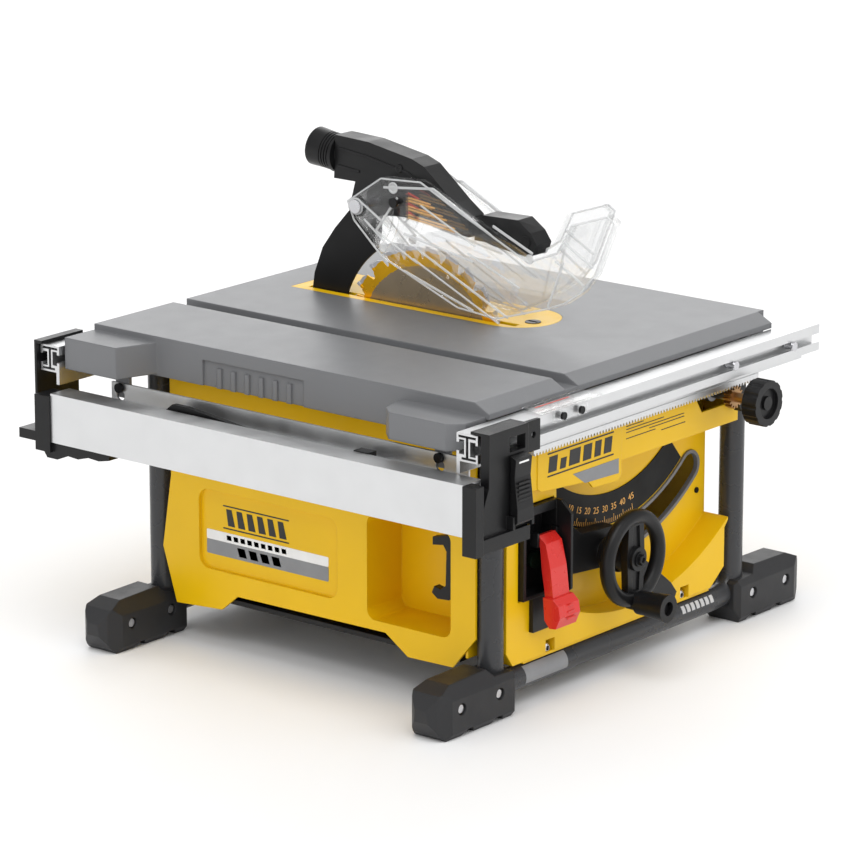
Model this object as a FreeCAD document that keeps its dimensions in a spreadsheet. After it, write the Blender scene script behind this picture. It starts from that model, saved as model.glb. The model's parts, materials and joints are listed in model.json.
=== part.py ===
"""Compact cordless table saw: bench-top frame, sliding rails, tilting and rising blade."""
import FreeCAD
import Part
import Sketcher
import math
import os

# ---------------------------------------------------------------------------
# Driving dimensions, in millimetres and degrees.  X runs to the operator's
# right, Y to the back, Z up.  The origin is on the ground below the middle.
# ---------------------------------------------------------------------------
SIZES = {
    # whole machine
    "half_width": 310, "half_depth": 294, "fit_gap": 0.3, "wall": 3,
    # table casting
    "table_top": 320, "table_left": -232, "table_right": 236,
    "table_front": -226.5, "table_rear": 258.5, "table_skin": 6, "table_wall": 5,
    "table_foot": 280, "lip_front": -243.5, "lip_drop": 9, "lip_bottom": 305.8,
    "slot_x": -105, "slot_width": 20, "slot_depth": 9.5, "slot_channel": 14,
    "wing_left": -275, "wing_foot": 282, "wing_wall": 4,
    "rear_wing_top": 314, "front_wing_top": 308,
    "grip_front": -16, "grip_rear": 114, "grip_top": 306, "grip_depth": 2.5,
    "grip_rib": 6, "grip_pitch": 18,
    # throat plate
    "throat_left": 13, "throat_right": 98, "throat_nose": -55, "throat_rear": 211,
    "throat_thick": 3, "throat_ledge": 5, "kerf_left": 23, "kerf_right": 32,
    "kerf_front": -74, "kerf_rear": 196, "finger_x": 49, "finger_y": -77,
    "finger_radius": 8,
    # blade and arbor
    "blade_x": 26, "arbor_y": 41.5, "arbor_drop": 40, "blade_radius": 105,
    "blade_plate": 1.6, "tooth_kerf": 2.6, "tooth_count": 24, "arbor_radius": 7.5,
    "blade_bore": 15, "flange_radius": 22, "flange_thick": 5, "blade_travel": 65,
    # gear train
    "gear_module": 1.5, "arbor_teeth": 32, "motor_teeth": 16, "gear_width": 10,
    "gear_backlash": 0.16, "motor_dy": 28.8, "motor_dz": -21.6,
    "motor_radius": 38, "motor_near": -38, "motor_far": -140,
    # front and rear rails
    "rail_left": -281, "rail_right": 274, "rail_top": 305, "rail_bottom": 278,
    "rail_outer": -269, "rail_inner": -244, "rail_mid_y": 8.5, "flange_foot": 266,
    "rack_left": -170, "rack_teeth": 78, "pinion_x": 157, "pinion_z": 249,
    "pinion_teeth": 14, "pinion_shaft_radius": 5, "rail_travel": 300,
    # adjusting knob
    "knob_radius": 23.5, "knob_front": -290, "knob_back": -271,
    # tubular frame and feet
    "tube_radius": 12.7, "tube_wall": 1.6, "leg_left": -190, "leg_right": 204,
    "leg_front": -213, "leg_rear": 209, "cross_height": 28, "leg_top": 306,
    "bend_radius": 22, "foot_reach": 106, "foot_tail": 15, "foot_half": 22,
    # housing
    "side_left": -206, "side_right": 188, "back_face": 225, "panel_left": -177,
    "panel_right": 187, "panel_front": -222, "recess_face": -192,
    "band_face": -229, "band_foot": 215, "band_head": 296, "panel_foot": 44,
    "recess_radius": 262, "recess_left": -100, "housing_head": 278,
    # bevel slot and scale
    "bevel_slot_in": 189, "bevel_slot_out": 215, "bevel_trim": 3.5,
    "scale_in": 150, "scale_out": 183, "wheel_swing": 202, "wheel_offset": -39,
    "bevel_limit": 45,
    # handwheel
    "wheel_radius": 41.5, "rim_radius": 7.5, "wheel_y": -250, "crank_radius": 43.5,
    # fence
    "fence_left": -308, "fence_right": -281, "fence_top": 265, "fence_foot": 215,
    "fence_front": -274, "fence_rear": 248, "fence_wall": 2.5,
    # guard
    "guard_pivot_y": 114, "guard_pivot_z": 419.6, "guard_out": 23, "guard_thick": 2.5,
    "arm_half": 13, "knife_half": 1.1, "guard_slot_radius": 50.9,
    # switch
    "switch_left": -158, "switch_right": -104, "switch_foot": 107, "switch_head": 199,
    "switch_face": -228, "switch_back": -196, "paddle_pin_y": -227, "paddle_pin_z": 165,
    "button_x": -124, "button_z": 140, "button_radius": 6.7,
    # lifting screw, guide rods and handwheel shaft
    "screw_y": -85, "screw_radius": 5, "rod_radius": 6, "front_rod_u": -15,
    "front_rod_y": -105, "rear_rod_u": -14, "rear_rod_y": 187, "shaft_radius": 6,
    # battery
    "battery_left": 72, "battery_right": 186, "battery_front": 97, "battery_back": 181,
    "battery_foot": 60.3, "battery_head": 124, "pan_foot": 50, "pan_top": 55,
}

doc = FreeCAD.newDocument("TableSaw")
sheet = doc.addObject("Spreadsheet::Sheet", "Sizes")
for row, (alias, value) in enumerate(SIZES.items(), 1):
    sheet.set("A%d" % row, alias)
    sheet.set("B%d" % row, str(value))
    sheet.setAlias("B%d" % row, alias)
doc.recompute()


class Size:
    """A number and the sheet expression that it comes from."""

    def __init__(self, value, text):
        self.value = float(value)
        self.text = text

    @staticmethod
    def wrap(other):
        return other if isinstance(other, Size) else Size(other, "(%r)" % float(other))

    def __add__(self, other):
        other = Size.wrap(other)
        return Size(self.value + other.value, "(%s + %s)" % (self.text, other.text))

    def __radd__(self, other):
        return Size.wrap(other) + self

    def __sub__(self, other):
        other = Size.wrap(other)
        return Size(self.value - other.value, "(%s - %s)" % (self.text, other.text))

    def __rsub__(self, other):
        return Size.wrap(other) - self

    def __mul__(self, other):
        other = Size.wrap(other)
        return Size(self.value * other.value, "(%s * %s)" % (self.text, other.text))

    __rmul__ = __mul__

    def __truediv__(self, other):
        other = Size.wrap(other)
        return Size(self.value / other.value, "(%s / %s)" % (self.text, other.text))

    def __neg__(self):
        return Size(-self.value, "(-1 * %s)" % self.text)

    def __float__(self):
        return self.value


class Sheet:
    """Reads a sheet cell by its alias: dim.table_top."""

    def __getattr__(self, alias):
        return Size(sheet.get(alias), "Sizes.%s" % alias)


dim = Sheet()
nodes = []


# ---------------------------------------------------------------------------
# Helpers
# ---------------------------------------------------------------------------
def bind(obj, prop, size):
    """Drive one property from the sheet."""
    obj.setExpression(prop, Size.wrap(size).text)


def node(obj, name):
    """Name an object as one finished sub-part."""
    obj.Label = name
    nodes.append(obj)
    return obj


def block(x, y, z):
    """A box given by its low and high limits along each axis."""
    obj = doc.addObject("Part::Box", "Block")
    for prop, axis, (low, high) in zip(("Length", "Width", "Height"), "xyz", (x, y, z)):
        bind(obj, prop, Size.wrap(high) - low)
        bind(obj, "Placement.Base." + axis, low)
    return obj


def rounded_block(x, y, z, radius):
    """A box whose four long edges along X are round."""
    low_y, high_y = y[0] + radius, y[1] - radius
    low_z, high_z = z[0] + radius, z[1] - radius
    corners = [rod("X", (across, up), radius, x) for across in (low_y, high_y) for up in (low_z, high_z)]
    return fuse(block(x, y, (low_z, high_z)), block(x, (low_y, high_y), z), *corners)


TURNS = {
    "X": FreeCAD.Rotation(FreeCAD.Vector(1, 1, 1), 120),
    "Y": FreeCAD.Rotation(FreeCAD.Vector(1, 0, 0), 90),
    "Z": FreeCAD.Rotation(),
}
CROSS_AXES = {"X": "yz", "Y": "xz", "Z": "xy"}


def place_round(obj, axis, centre, span, start_angle=0):
    """Lay a round primitive along an axis; angles run from the first cross axis to the second."""
    spin = FreeCAD.Rotation(FreeCAD.Vector(0, 0, 1), start_angle)
    obj.Placement = FreeCAD.Placement(FreeCAD.Vector(), TURNS[axis].multiply(spin))
    for cross, place in zip(CROSS_AXES[axis], centre):
        bind(obj, "Placement.Base." + cross, place)
    base = span[1] if axis == "Y" else span[0]
    bind(obj, "Placement.Base." + axis.lower(), base)
    bind(obj, "Height", Size.wrap(span[1]) - span[0])
    return obj


def rod(axis, centre, radius, span, start_angle=0, sweep=360):
    """A cylinder, or a pie slice of one."""
    obj = doc.addObject("Part::Cylinder", "Rod")
    bind(obj, "Radius", radius)
    obj.Angle = sweep
    return place_round(obj, axis, centre, span, start_angle)


def taper(axis, centre, radii, span):
    """A cone frustum with its radius at the low and at the high end of the span."""
    obj = doc.addObject("Part::Cone", "Taper")
    low, high = reversed(radii) if axis == "Y" else radii
    bind(obj, "Radius1", low)
    bind(obj, "Radius2", high)
    return place_round(obj, axis, centre, span)


def fuse(*parts):
    obj = doc.addObject("Part::MultiFuse", "Fuse")
    obj.Shapes = list(parts)
    return obj


def cut(base, *tools):
    obj = doc.addObject("Part::Cut", "Cut")
    obj.Base = base
    obj.Tool = tools[0] if len(tools) == 1 else fuse(*tools)
    return obj


def common(first, second):
    obj = doc.addObject("Part::MultiCommon", "Common")
    obj.Shapes = [first, second]
    return obj


def tube(axis, centre, outer, inner, span):
    return cut(rod(axis, centre, outer, span), rod(axis, centre, inner, span))


def sector(axis, centre, inner, outer, span, start_angle, end_angle):
    """Part of a ring between two angles."""
    sweep = end_angle - start_angle
    outer_slice = rod(axis, centre, outer, span, start_angle, sweep)
    return cut(outer_slice, rod(axis, centre, inner, span))


def outline_sketch(body, role, offset, outline):
    """A sketch on one of the body's own planes with every corner tied to the sheet."""
    sketch = body.newObject("Sketcher::SketchObject", "Outline")
    plane = [item for item in body.Origin.OriginFeatures if item.Role == role][0]
    sketch.AttachmentSupport = [(plane, "")]
    sketch.MapMode = "FlatFace"
    bind(sketch, "AttachmentOffset.Base.z", offset)
    corners = [FreeCAD.Vector(float(u), float(v), 0) for u, v in outline]
    count = len(corners)
    for line in range(count):
        sketch.addGeometry(Part.LineSegment(corners[line], corners[(line + 1) % count]), False)
    for line, (u, v) in enumerate(outline):
        sketch.addConstraint(Sketcher.Constraint("Coincident", line, 2, (line + 1) % count, 1))
        for kind, place in (("DistanceX", u), ("DistanceY", v)):
            number = sketch.addConstraint(Sketcher.Constraint(kind, -1, 1, line, 1, float(place)))
            bind(sketch, "Constraints[%d]" % number, place)
    return sketch


def plate(axis, outline, span):
    """A padded outline along an axis."""
    role = {"X": "YZ_Plane", "Y": "XZ_Plane", "Z": "XY_Plane"}[axis]
    body = doc.addObject("PartDesign::Body", "Plate")
    offset = -Size.wrap(span[0]) if axis == "Y" else span[0]
    sketch = outline_sketch(body, role, offset, outline)
    pad = body.newObject("PartDesign::Pad", "Pad")
    pad.Profile = sketch
    pad.Reversed = axis == "Y"
    bind(pad, "Length", Size.wrap(span[1]) - span[0])
    body.Tip = pad
    return body


def feature(shape, placement=None):
    """A shape made with Part's own functions."""
    obj = doc.addObject("Part::Feature", "Feature")
    obj.Shape = shape
    if placement:
        obj.Placement = placement
    return obj


def group(pieces):
    """Separate pieces kept together in one node."""
    obj = doc.addObject("Part::Compound", "Group")
    obj.Links = list(pieces)
    return obj


def around(middle, half):
    return (middle - half, middle + half)


def in_order(first, second):
    """Two places as a low and a high limit."""
    return tuple(sorted((first, second), key=float))


def mirror_y(y):
    """The place at the rear rail that answers to a place at the front rail."""
    return 2 * dim.rail_mid_y - y


def gear_outline(module, teeth, backlash, addendum=0.8, dedendum=1.1, pressure=20):
    """Corner points of an involute spur gear with a tooth centred on the first axis."""
    pitch = module * teeth / 2
    base = pitch * math.cos(math.radians(pressure))
    tip = pitch + addendum * module
    root = pitch - dedendum * module

    def involute(radius):
        angle = math.acos(min(1, base / radius))
        return math.tan(angle) - angle

    half_tooth = math.pi / (2 * teeth) - backlash / (2 * pitch)
    low = max(base, root)
    radii = [low + (tip - low) * step / 5 for step in range(6)]
    flank = [(r, half_tooth + involute(pitch) - involute(r)) for r in radii]
    if root < base:
        flank.insert(0, (root, flank[0][1]))
    points = []
    for tooth in range(teeth):
        middle = 2 * math.pi * tooth / teeth
        for radius, half in flank:
            points.append((radius, middle - half))
        for radius, half in reversed(flank):
            points.append((radius, middle + half))
    return [(r * math.cos(a), r * math.sin(a)) for r, a in points]


def prism(axis, points, span):
    """A solid pushed from plain points along an axis."""
    low, high = float(span[0]), float(span[1])
    corners = []
    for u, v in points:
        spot = {"X": (low, u, v), "Y": (u, low, v), "Z": (u, v, low)}[axis]
        corners.append(FreeCAD.Vector(*spot))
    push = FreeCAD.Vector(*[high - low if name == axis else 0 for name in "XYZ"])
    return Part.Face(Part.makePolygon(corners + corners[:1])).extrude(push)


def spur_gear(axis, centre, module, teeth, backlash, span, bore, phase):
    """A spur gear about an axis, turned so that a tooth points along the phase angle."""
    turn = math.radians(phase)
    spun = []
    for u, v in gear_outline(module, teeth, backlash):
        spun.append((float(centre[0]) + u * math.cos(turn) - v * math.sin(turn),
                     float(centre[1]) + u * math.sin(turn) + v * math.cos(turn)))
    solid = prism(axis, spun, span)
    hole = rod(axis, centre, bore, span)
    doc.recompute()
    return feature(solid.cut(hole.Shape))


# Places that several sub-parts share
arbor_z = dim.table_top - dim.arbor_drop
motor_y = dim.arbor_y + dim.motor_dy
motor_z = arbor_z + dim.motor_dz
wheel_x = dim.blade_x + dim.wheel_offset
wheel_drop = math.sqrt(float(dim.wheel_swing) ** 2 - float(dim.wheel_offset) ** 2)
wheel_z = dim.table_top - wheel_drop
bevel_centre = (dim.blade_x, dim.table_top)
skin_under = dim.table_top - dim.table_skin
panel_low = dim.panel_foot
screw_y = dim.screw_y
case_screws = []


def blade_side(offset):
    """A place along X measured from the blade's plane."""
    return dim.blade_x + offset


dust_port = (100, 210)
guide_lefts = (-172, 88)
ground_screws = (-108, 113)
rod_places = ((blade_side(dim.front_rod_u), dim.front_rod_y),
              (blade_side(dim.rear_rod_u), dim.rear_rod_y))
guard_axis = (dim.guard_pivot_y, dim.guard_pivot_z)
guard_stop = (dim.guard_pivot_y - 49.8, dim.guard_pivot_z + 10.5)
front_latch_axis = (-289.5, 221)
rear_latch_axis = (292.3, 240)
toward_motor = math.degrees(math.atan2(float(dim.motor_dz), float(dim.motor_dy)))
toward_arbor = toward_motor + 180


# ---------------------------------------------------------------------------
# Table
# ---------------------------------------------------------------------------
def build_table():
    left, right = dim.table_left, dim.table_right
    front, rear = dim.table_front, dim.table_rear
    foot = dim.table_foot
    shell = block((left, right), (front, rear), (foot, dim.table_top))
    inside = block((left + dim.table_wall, right - dim.table_wall),
                   (front + dim.table_wall, rear - dim.table_wall), (foot, skin_under))
    lip_top = dim.table_top - dim.lip_drop
    lip = plate("X", [(front + 1, dim.table_top), (front, dim.table_top), (dim.lip_front, lip_top),
                      (dim.lip_front, dim.lip_bottom), (front + 1, dim.lip_bottom - 6)],
                (left, right - 10))
    channel = block(around(dim.slot_x, dim.slot_channel), (front, rear),
                    (dim.table_top - dim.slot_depth - 4, dim.table_top))
    rear_wing = plate("Z", [(left + 1, rear), (dim.wing_left, rear), (dim.wing_left, 190), (left + 1, 174)],
                      (dim.wing_foot, dim.rear_wing_top))
    wing_inner = dim.wing_left + dim.wing_wall
    wing_back = rear - dim.wing_wall
    rear_wing_inside = plate("Z", [(left + 1, wing_back), (wing_inner, wing_back), (wing_inner, 193),
                                   (left + 1, 179)],
                             (dim.wing_foot, dim.rear_wing_top - dim.wing_wall))
    front_wing = plate("Z", [(left + 1, -240), (-262, -240), (dim.wing_left, -226), (dim.wing_left, -158),
                             (-262, -144), (left + 1, -136)], (dim.wing_foot, dim.front_wing_top))
    front_wing_inside = plate("Z", [(left + 1, -236), (-260, -236), (wing_inner, -224), (wing_inner, -160),
                                    (-260, -148), (left + 1, -141)],
                              (dim.wing_foot, dim.front_wing_top - dim.wing_wall))
    sockets = []
    for x in (dim.leg_left, dim.leg_right):
        for y in (dim.leg_front, dim.leg_rear):
            sockets.append(rod("Z", (x, y), dim.tube_radius + 3.3, (292, skin_under)))
    ribs = [block((left, right), around(y, 2), (302, skin_under)) for y in (-170, 236)]
    hangers = [block((-255, -251), around(y, 9), (258, wing_head - 2))
               for y, wing_head in ((200, dim.rear_wing_top), (-206, dim.front_wing_top))]
    body = fuse(cut(shell, inside), lip, channel, cut(rear_wing, rear_wing_inside),
                cut(front_wing, front_wing_inside), *sockets, *ribs, *hangers)
    slot = block(around(dim.slot_x, dim.slot_width / 2), (dim.lip_front - 1, rear + 1),
                 (dim.table_top - dim.slot_depth, dim.table_top + 1))
    tools = [slot]
    for x in (dim.leg_left, dim.leg_right):
        for y in (dim.leg_front, dim.leg_rear):
            tools.append(rod("Z", (x, y), dim.tube_radius + 0.05, (foot - 1, dim.leg_top)))
    middle = (dim.throat_left + dim.throat_right) / 2
    half = (dim.throat_right - dim.throat_left) / 2 + 0.2
    seat_span = (dim.table_top - dim.throat_thick, dim.table_top + 1)
    tools.append(block(around(middle, half), (dim.throat_nose, dim.throat_rear + 0.2), seat_span))
    tools.append(rod("Z", (middle, dim.throat_nose), half, seat_span))
    well = (dim.table_foot, dim.table_top)
    ledge = half - dim.throat_ledge
    tools.append(block(around(middle, ledge), (dim.throat_nose, 150), well))
    tools.append(rod("Z", (middle, dim.throat_nose), ledge, well))
    tools.append(block((dim.kerf_left - 6, dim.kerf_right + 6), (149, dim.throat_rear - 8), well))
    tools.append(block((left - 1, left + dim.grip_depth), (dim.grip_front, dim.grip_rear),
                       (foot - 1, dim.grip_top)))
    table = cut(body, *tools)
    grips = []
    for number in range(6):
        y = dim.grip_front + 16 + number * dim.grip_pitch
        grips.append(block((left + 0.2, left + dim.grip_depth + 1), (y, y + dim.grip_rib),
                           (foot, dim.grip_top - 6)))
    node(fuse(table, *grips), "table_top")


def build_throat_plate():
    middle = (dim.throat_left + dim.throat_right) / 2
    half = (dim.throat_right - dim.throat_left) / 2
    span = (dim.table_top - dim.throat_thick, dim.table_top)
    full = fuse(block(around(middle, half), (dim.throat_nose, dim.throat_rear), span),
                rod("Z", (middle, dim.throat_nose), half, span))
    kerf = block((dim.kerf_left, dim.kerf_right), (dim.kerf_front, dim.kerf_rear),
                 (span[0] - 1, span[1] + 1))
    hole = rod("Z", (dim.finger_x, dim.finger_y), dim.finger_radius + dim.fit_gap,
               (span[0] - 1, span[1] + 1))
    node(cut(full, kerf, hole), "throat_plate")
    finger = (dim.finger_x, dim.finger_y)
    head = rod("Z", finger, dim.finger_radius, (skin_under - 1, dim.table_top + 0.6))
    bar = block(around(dim.finger_x, 1.6), around(dim.finger_y, dim.finger_radius - 2),
                (dim.table_top - 1.4, dim.table_top + 1))
    latch = block(around(dim.finger_x, 5), (dim.finger_y - 24, dim.finger_y + 6),
                  (skin_under - 3.3, skin_under - 0.3))
    node(fuse(cut(head, bar), latch), "throat_lock_knob")


# ---------------------------------------------------------------------------
# Tubular frame and feet
# ---------------------------------------------------------------------------
def leg_path(y):
    """Down one leg, along the ground bar and up the other, with round bends."""
    left, right = float(dim.leg_left), float(dim.leg_right)
    low, top, bend = float(dim.cross_height), float(dim.leg_top), float(dim.bend_radius)
    short = bend * (1 - math.sqrt(0.5))

    def spot(x, z):
        return FreeCAD.Vector(x, float(y), z)

    edges = [
        Part.LineSegment(spot(left, top), spot(left, low + bend)),
        Part.Arc(spot(left, low + bend), spot(left + short, low + short), spot(left + bend, low)),
        Part.LineSegment(spot(left + bend, low), spot(right - bend, low)),
        Part.Arc(spot(right - bend, low), spot(right - short, low + short), spot(right, low + bend)),
        Part.LineSegment(spot(right, low + bend), spot(right, top)),
    ]
    return Part.Wire([edge.toShape() for edge in edges])


def bent_bar(y, radius):
    path = leg_path(y)
    start = FreeCAD.Vector(float(dim.leg_left), float(y), float(dim.leg_top))
    ring = Part.Wire(Part.makeCircle(radius, start, FreeCAD.Vector(0, 0, -1)))
    return path.makePipeShell([ring], True, False)


def build_frame():
    outer = float(dim.tube_radius)
    for y, name in ((dim.leg_front, "front_frame_tube"), (dim.leg_rear, "rear_frame_tube")):
        bar = bent_bar(y, outer).cut(bent_bar(y, outer - float(dim.tube_wall)))
        node(feature(bar), name)


def foot_outline(leg_x, side):
    """Side view of a foot; outward is away from the machine's middle."""
    profile = [(-dim.foot_tail, 15), (-dim.foot_tail, 41), (-11, 45), (16, 46), (24, 54), (80, 53),
               (dim.foot_reach - 9, 46), (dim.foot_reach, 32), (dim.foot_reach - 1, 19),
               (dim.foot_reach - 9, 6), (90, 0), (66, 0), (61, 6), (53, 6), (48, 0), (22, 0),
               (17, 6), (8, 6), (4, 0), (-9, 0)]
    return [(leg_x + side * d, v) for d, v in profile]


def foot_plan(leg_x, leg_y, side):
    half = dim.foot_half
    profile = [(-dim.foot_tail, -half + 6), (-10, -half), (85, -half), (dim.foot_reach - 6, -half + 7),
               (dim.foot_reach, -half + 15), (dim.foot_reach, half - 15), (dim.foot_reach - 6, half - 7),
               (85, half), (-10, half), (-dim.foot_tail, half - 6)]
    return [(leg_x + side * d, leg_y + v) for d, v in profile]


def foot_section(leg_y):
    """End view of a foot, with its long edges cut back."""
    half = dim.foot_half
    profile = [(-half, 6), (4 - half, 0), (half - 4, 0), (half, 6), (half, 39), (half - 10, 56),
               (10 - half, 56), (-half, 39)]
    return [(leg_y + y, z) for y, z in profile]


def build_feet():
    feet = []
    screws = []
    places = ((dim.leg_left, -1), (dim.leg_right, 1))
    for leg_y in (dim.leg_front, dim.leg_rear):
        bar = feature(bent_bar(leg_y, float(dim.tube_radius) + 0.05))
        for leg_x, side in places:
            tall = plate("Y", foot_outline(leg_x, side), around(leg_y, dim.foot_half))
            plan = plate("Z", foot_plan(leg_x, leg_y, side), (0, 60))
            section = plate("X", foot_section(leg_y), (leg_x - 120, leg_x + 120))
            holes = [bar]
            for reach, height in ((12, 28), (70, 28)):
                for face in (-1, 1):
                    x = leg_x + side * reach
                    face_y = leg_y + face * dim.foot_half
                    deep = face_y - face * 5
                    holes.append(rod("Y", (x, height), 6, in_order(face_y + face, deep)))
                    head_y = face_y - face * 2
                    screws.append(rod("Y", (x, height), 4.2, in_order(head_y, deep)))
            feet.append(cut(common(common(tall, plan), section), *holes))
    node(group(feet), "feet")
    node(group(screws), "foot_screws")


# ---------------------------------------------------------------------------
# Housing
# ---------------------------------------------------------------------------
def build_housing():
    left, right, wall = dim.side_left, dim.side_right, dim.wall
    head, back = dim.housing_head, dim.back_face
    side = plate("X", [(182, head), (182, 171), (194, 95.5), (176.5, 39), (116, 43), (95, 60.5),
                       (-96, 62), (-124, 43), (-180, 44), (-207, 77), (-207, 262), (-200, head)],
                 (left, left + wall))
    label_box = rounded_block((left, left + 7), (-38, 148), (80, 168), 15)
    label_cut = rounded_block((left - 1, left + 4), (-35, 145), (83, 165), 12)
    bay_box = rounded_block((left, left + 56), (-180, -70), (69, 181), 13)
    bay_cut = rounded_block((left - 1, left + 53), (-177, -73), (72, 178), 10)
    front_left = block((left + 2, dim.panel_left), (-197, -194), (panel_low + 12, head))
    rear_left = block((left + 2, -172), (179, 182), (60, head))
    rear_post = block((-175, -172), (179, back), (60, head))
    rear = block((-175, right), (back - wall, back), (50, head))
    right_side = block((right - wall, right), (dim.recess_face + wall, back), (50, head))
    window = block((right - wall - 1, right + 1), (92, 186), (60, 130))
    exhaust = rod("Y", dust_port, 22, (back - wall - 1, back + 1))
    vents = [block((-130 + 16 * number, -122 + 16 * number), (back - wall - 1, back + 1), (110, 180))
             for number in range(6)]
    shell = fuse(cut(side, label_cut, bay_cut), cut(label_box, label_cut), cut(bay_box, bay_cut),
                 front_left, rear_left, rear_post, rear, right_side)
    shaft_hole = rod("Y", (dim.pinion_x, dim.pinion_z), 8, (back - wall - 1, back + 1))
    node(cut(shell, window, exhaust, shaft_hole, *vents), "housing_shell")
    outlet = tube("Y", dust_port, 21.8, 19, (back - 18, back + 26))
    collar = tube("Y", dust_port, 26, 21, (back, back + 3))
    node(fuse(outlet, collar), "dust_outlet")


def build_floor_pan():
    """Moulded floor with the battery's cradle standing on it."""
    low, top = dim.pan_foot, dim.pan_top
    right = dim.side_right - dim.wall
    pan = block((dim.side_left + 4, right), (-186, 176), (low, top))
    opening = block((-140, 50), (-120, 88), (low - 1, top + 1))
    near, far = dim.battery_front, dim.battery_back
    cradle = block((dim.battery_left - 8, right), (near - 4, far + 4), (low, dim.battery_head + 8))
    room = block((dim.battery_left - 6, right + 1), (near - 1, far + 1),
                 (dim.battery_foot - 0.3, dim.battery_head + 3.6))
    blades = [block((dim.battery_left - 7, dim.battery_left - 0.5), (y, y + 3), (100, 120))
              for y in (112, 124, 150, 162)]
    node(fuse(cut(fuse(pan, cradle), opening, room), *blades), "floor_pan")


def bevel_slot(margin, span, start):
    """The shaft's curved slot, square at its low end and round at its high end."""
    inside, outside = dim.bevel_slot_in - margin, dim.bevel_slot_out + margin
    end = -49
    middle = (float(dim.bevel_slot_in) + float(dim.bevel_slot_out)) / 2
    centre = (bevel_centre[0] + middle * math.cos(math.radians(end)),
              bevel_centre[1] + middle * math.sin(math.radians(end)))
    return fuse(sector("Y", bevel_centre, inside, outside, span, start, end),
                rod("Y", centre, (outside - inside) / 2, span))


def build_front_panel():
    left, right, wall = dim.panel_left, dim.panel_right, dim.wall
    front, recess, low = dim.panel_front, dim.recess_face, dim.panel_foot
    band, foot = dim.band_face, dim.band_foot
    inner = recess + wall
    outer_body = plate("Y", [(left, low + 14), (left + 10, low), (158, low), (right - 6, low + 18),
                             (right - 6, 103), (right, 110), (right, foot), (left, foot)], (front, inner))
    outer_band = block((left, right + 3.5), (band, inner), (foot, dim.housing_head))
    apron = block((left, right + 3.5), (band, dim.table_front - 0.2), (dim.housing_head, dim.band_head))
    hollow = plate("Y", [(left + wall, low + 16), (left + 12, low + wall), (156, low + wall),
                         (right - 9, low + 20), (right - 9, 102), (right - 3, 109),
                         (right - 3, foot + wall),
                         (left + wall, foot + wall)], (front + wall, inner + 1))
    hollow_band = block((left + wall, right + 0.5), (band + wall, inner + 1),
                        (foot + wall, dim.housing_head + 1))
    swing = rod("Y", bevel_centre, dim.recess_radius, (band - 1, recess))
    swing_wall = rod("Y", bevel_centre, dim.recess_radius + wall, (band - 1, inner + 2))
    pocket = common(swing, block((dim.recess_left, right + 1), (band - 1, recess), (0, foot)))
    keep = common(swing_wall,
                  block((dim.recess_left - wall, right + 1), (band - 1, inner + 2), (0, foot + wall)))
    floor_face = block((dim.recess_left, right), (recess, inner), (60, foot))
    keep_floor = common(rod("Y", bevel_centre, dim.recess_radius, (recess, inner)), floor_face)
    trim_width = dim.bevel_trim
    slot = bevel_slot(trim_width, (recess - 1, inner + 1), -107)
    shaft_window = plate("Y", [(118, 304), (118, 252), (128, 236), (right - 1, 236), (right - 1, 304)],
                         (band - 1, band + wall + 1))
    switch_hole = block((-159, -103.5), (front - 1, inner + 1), (106, 200))
    screw_boxes = [block((x - 10, x + 10), (front + 1, -200), (low, low + 16)) for x in ground_screws]
    screw_notches = [block((x - 7, x + 7), (front - 1, -203), (low, low + 13)) for x in ground_screws]
    base = fuse(cut(outer_body, cut(hollow, keep)), keep_floor, *screw_boxes)
    panel = cut(base, pocket, slot, switch_hole, *screw_notches)
    guide_windows = [block((x - 1, x + 25), (band - 1, dim.table_front), (283, 297)) for x in guide_lefts]
    upper = cut(fuse(outer_band, apron), hollow_band, shaft_window, *guide_windows)
    shelf = block((-148, 158), (-220, inner), (41, low))
    badge = plate("Y", [(-140, 272), (-140, 216), (-134, 212), (-60, 206), (-52, 198), (-12, 196),
                        (-6, 202), (-6, 272)], (band - 1.2, band + 1))
    node(fuse(panel, upper, shelf, badge), "front_panel")
    trim = bevel_slot(trim_width, (recess - 2, inner), -107)
    trim_hole = bevel_slot(0, (recess - 3, inner + 1), -106)
    node(cut(trim, trim_hole), "slot_trim")
    scale = sector("Y", bevel_centre, dim.scale_in, dim.scale_out, (recess - 1.2, recess), -126, -50)
    node(scale, "bevel_scale")


def build_panel_screws():
    """Screws down into the ground bar and the one that holds the recess."""
    case_screws.append(rod("Y", (172, 139), 3, (dim.recess_face - 1.5, dim.recess_face)))
    for x in ground_screws:
        case_screws.append(rod("Z", (x, dim.leg_front), 4.5, (panel_low, panel_low + 4)))


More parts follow.
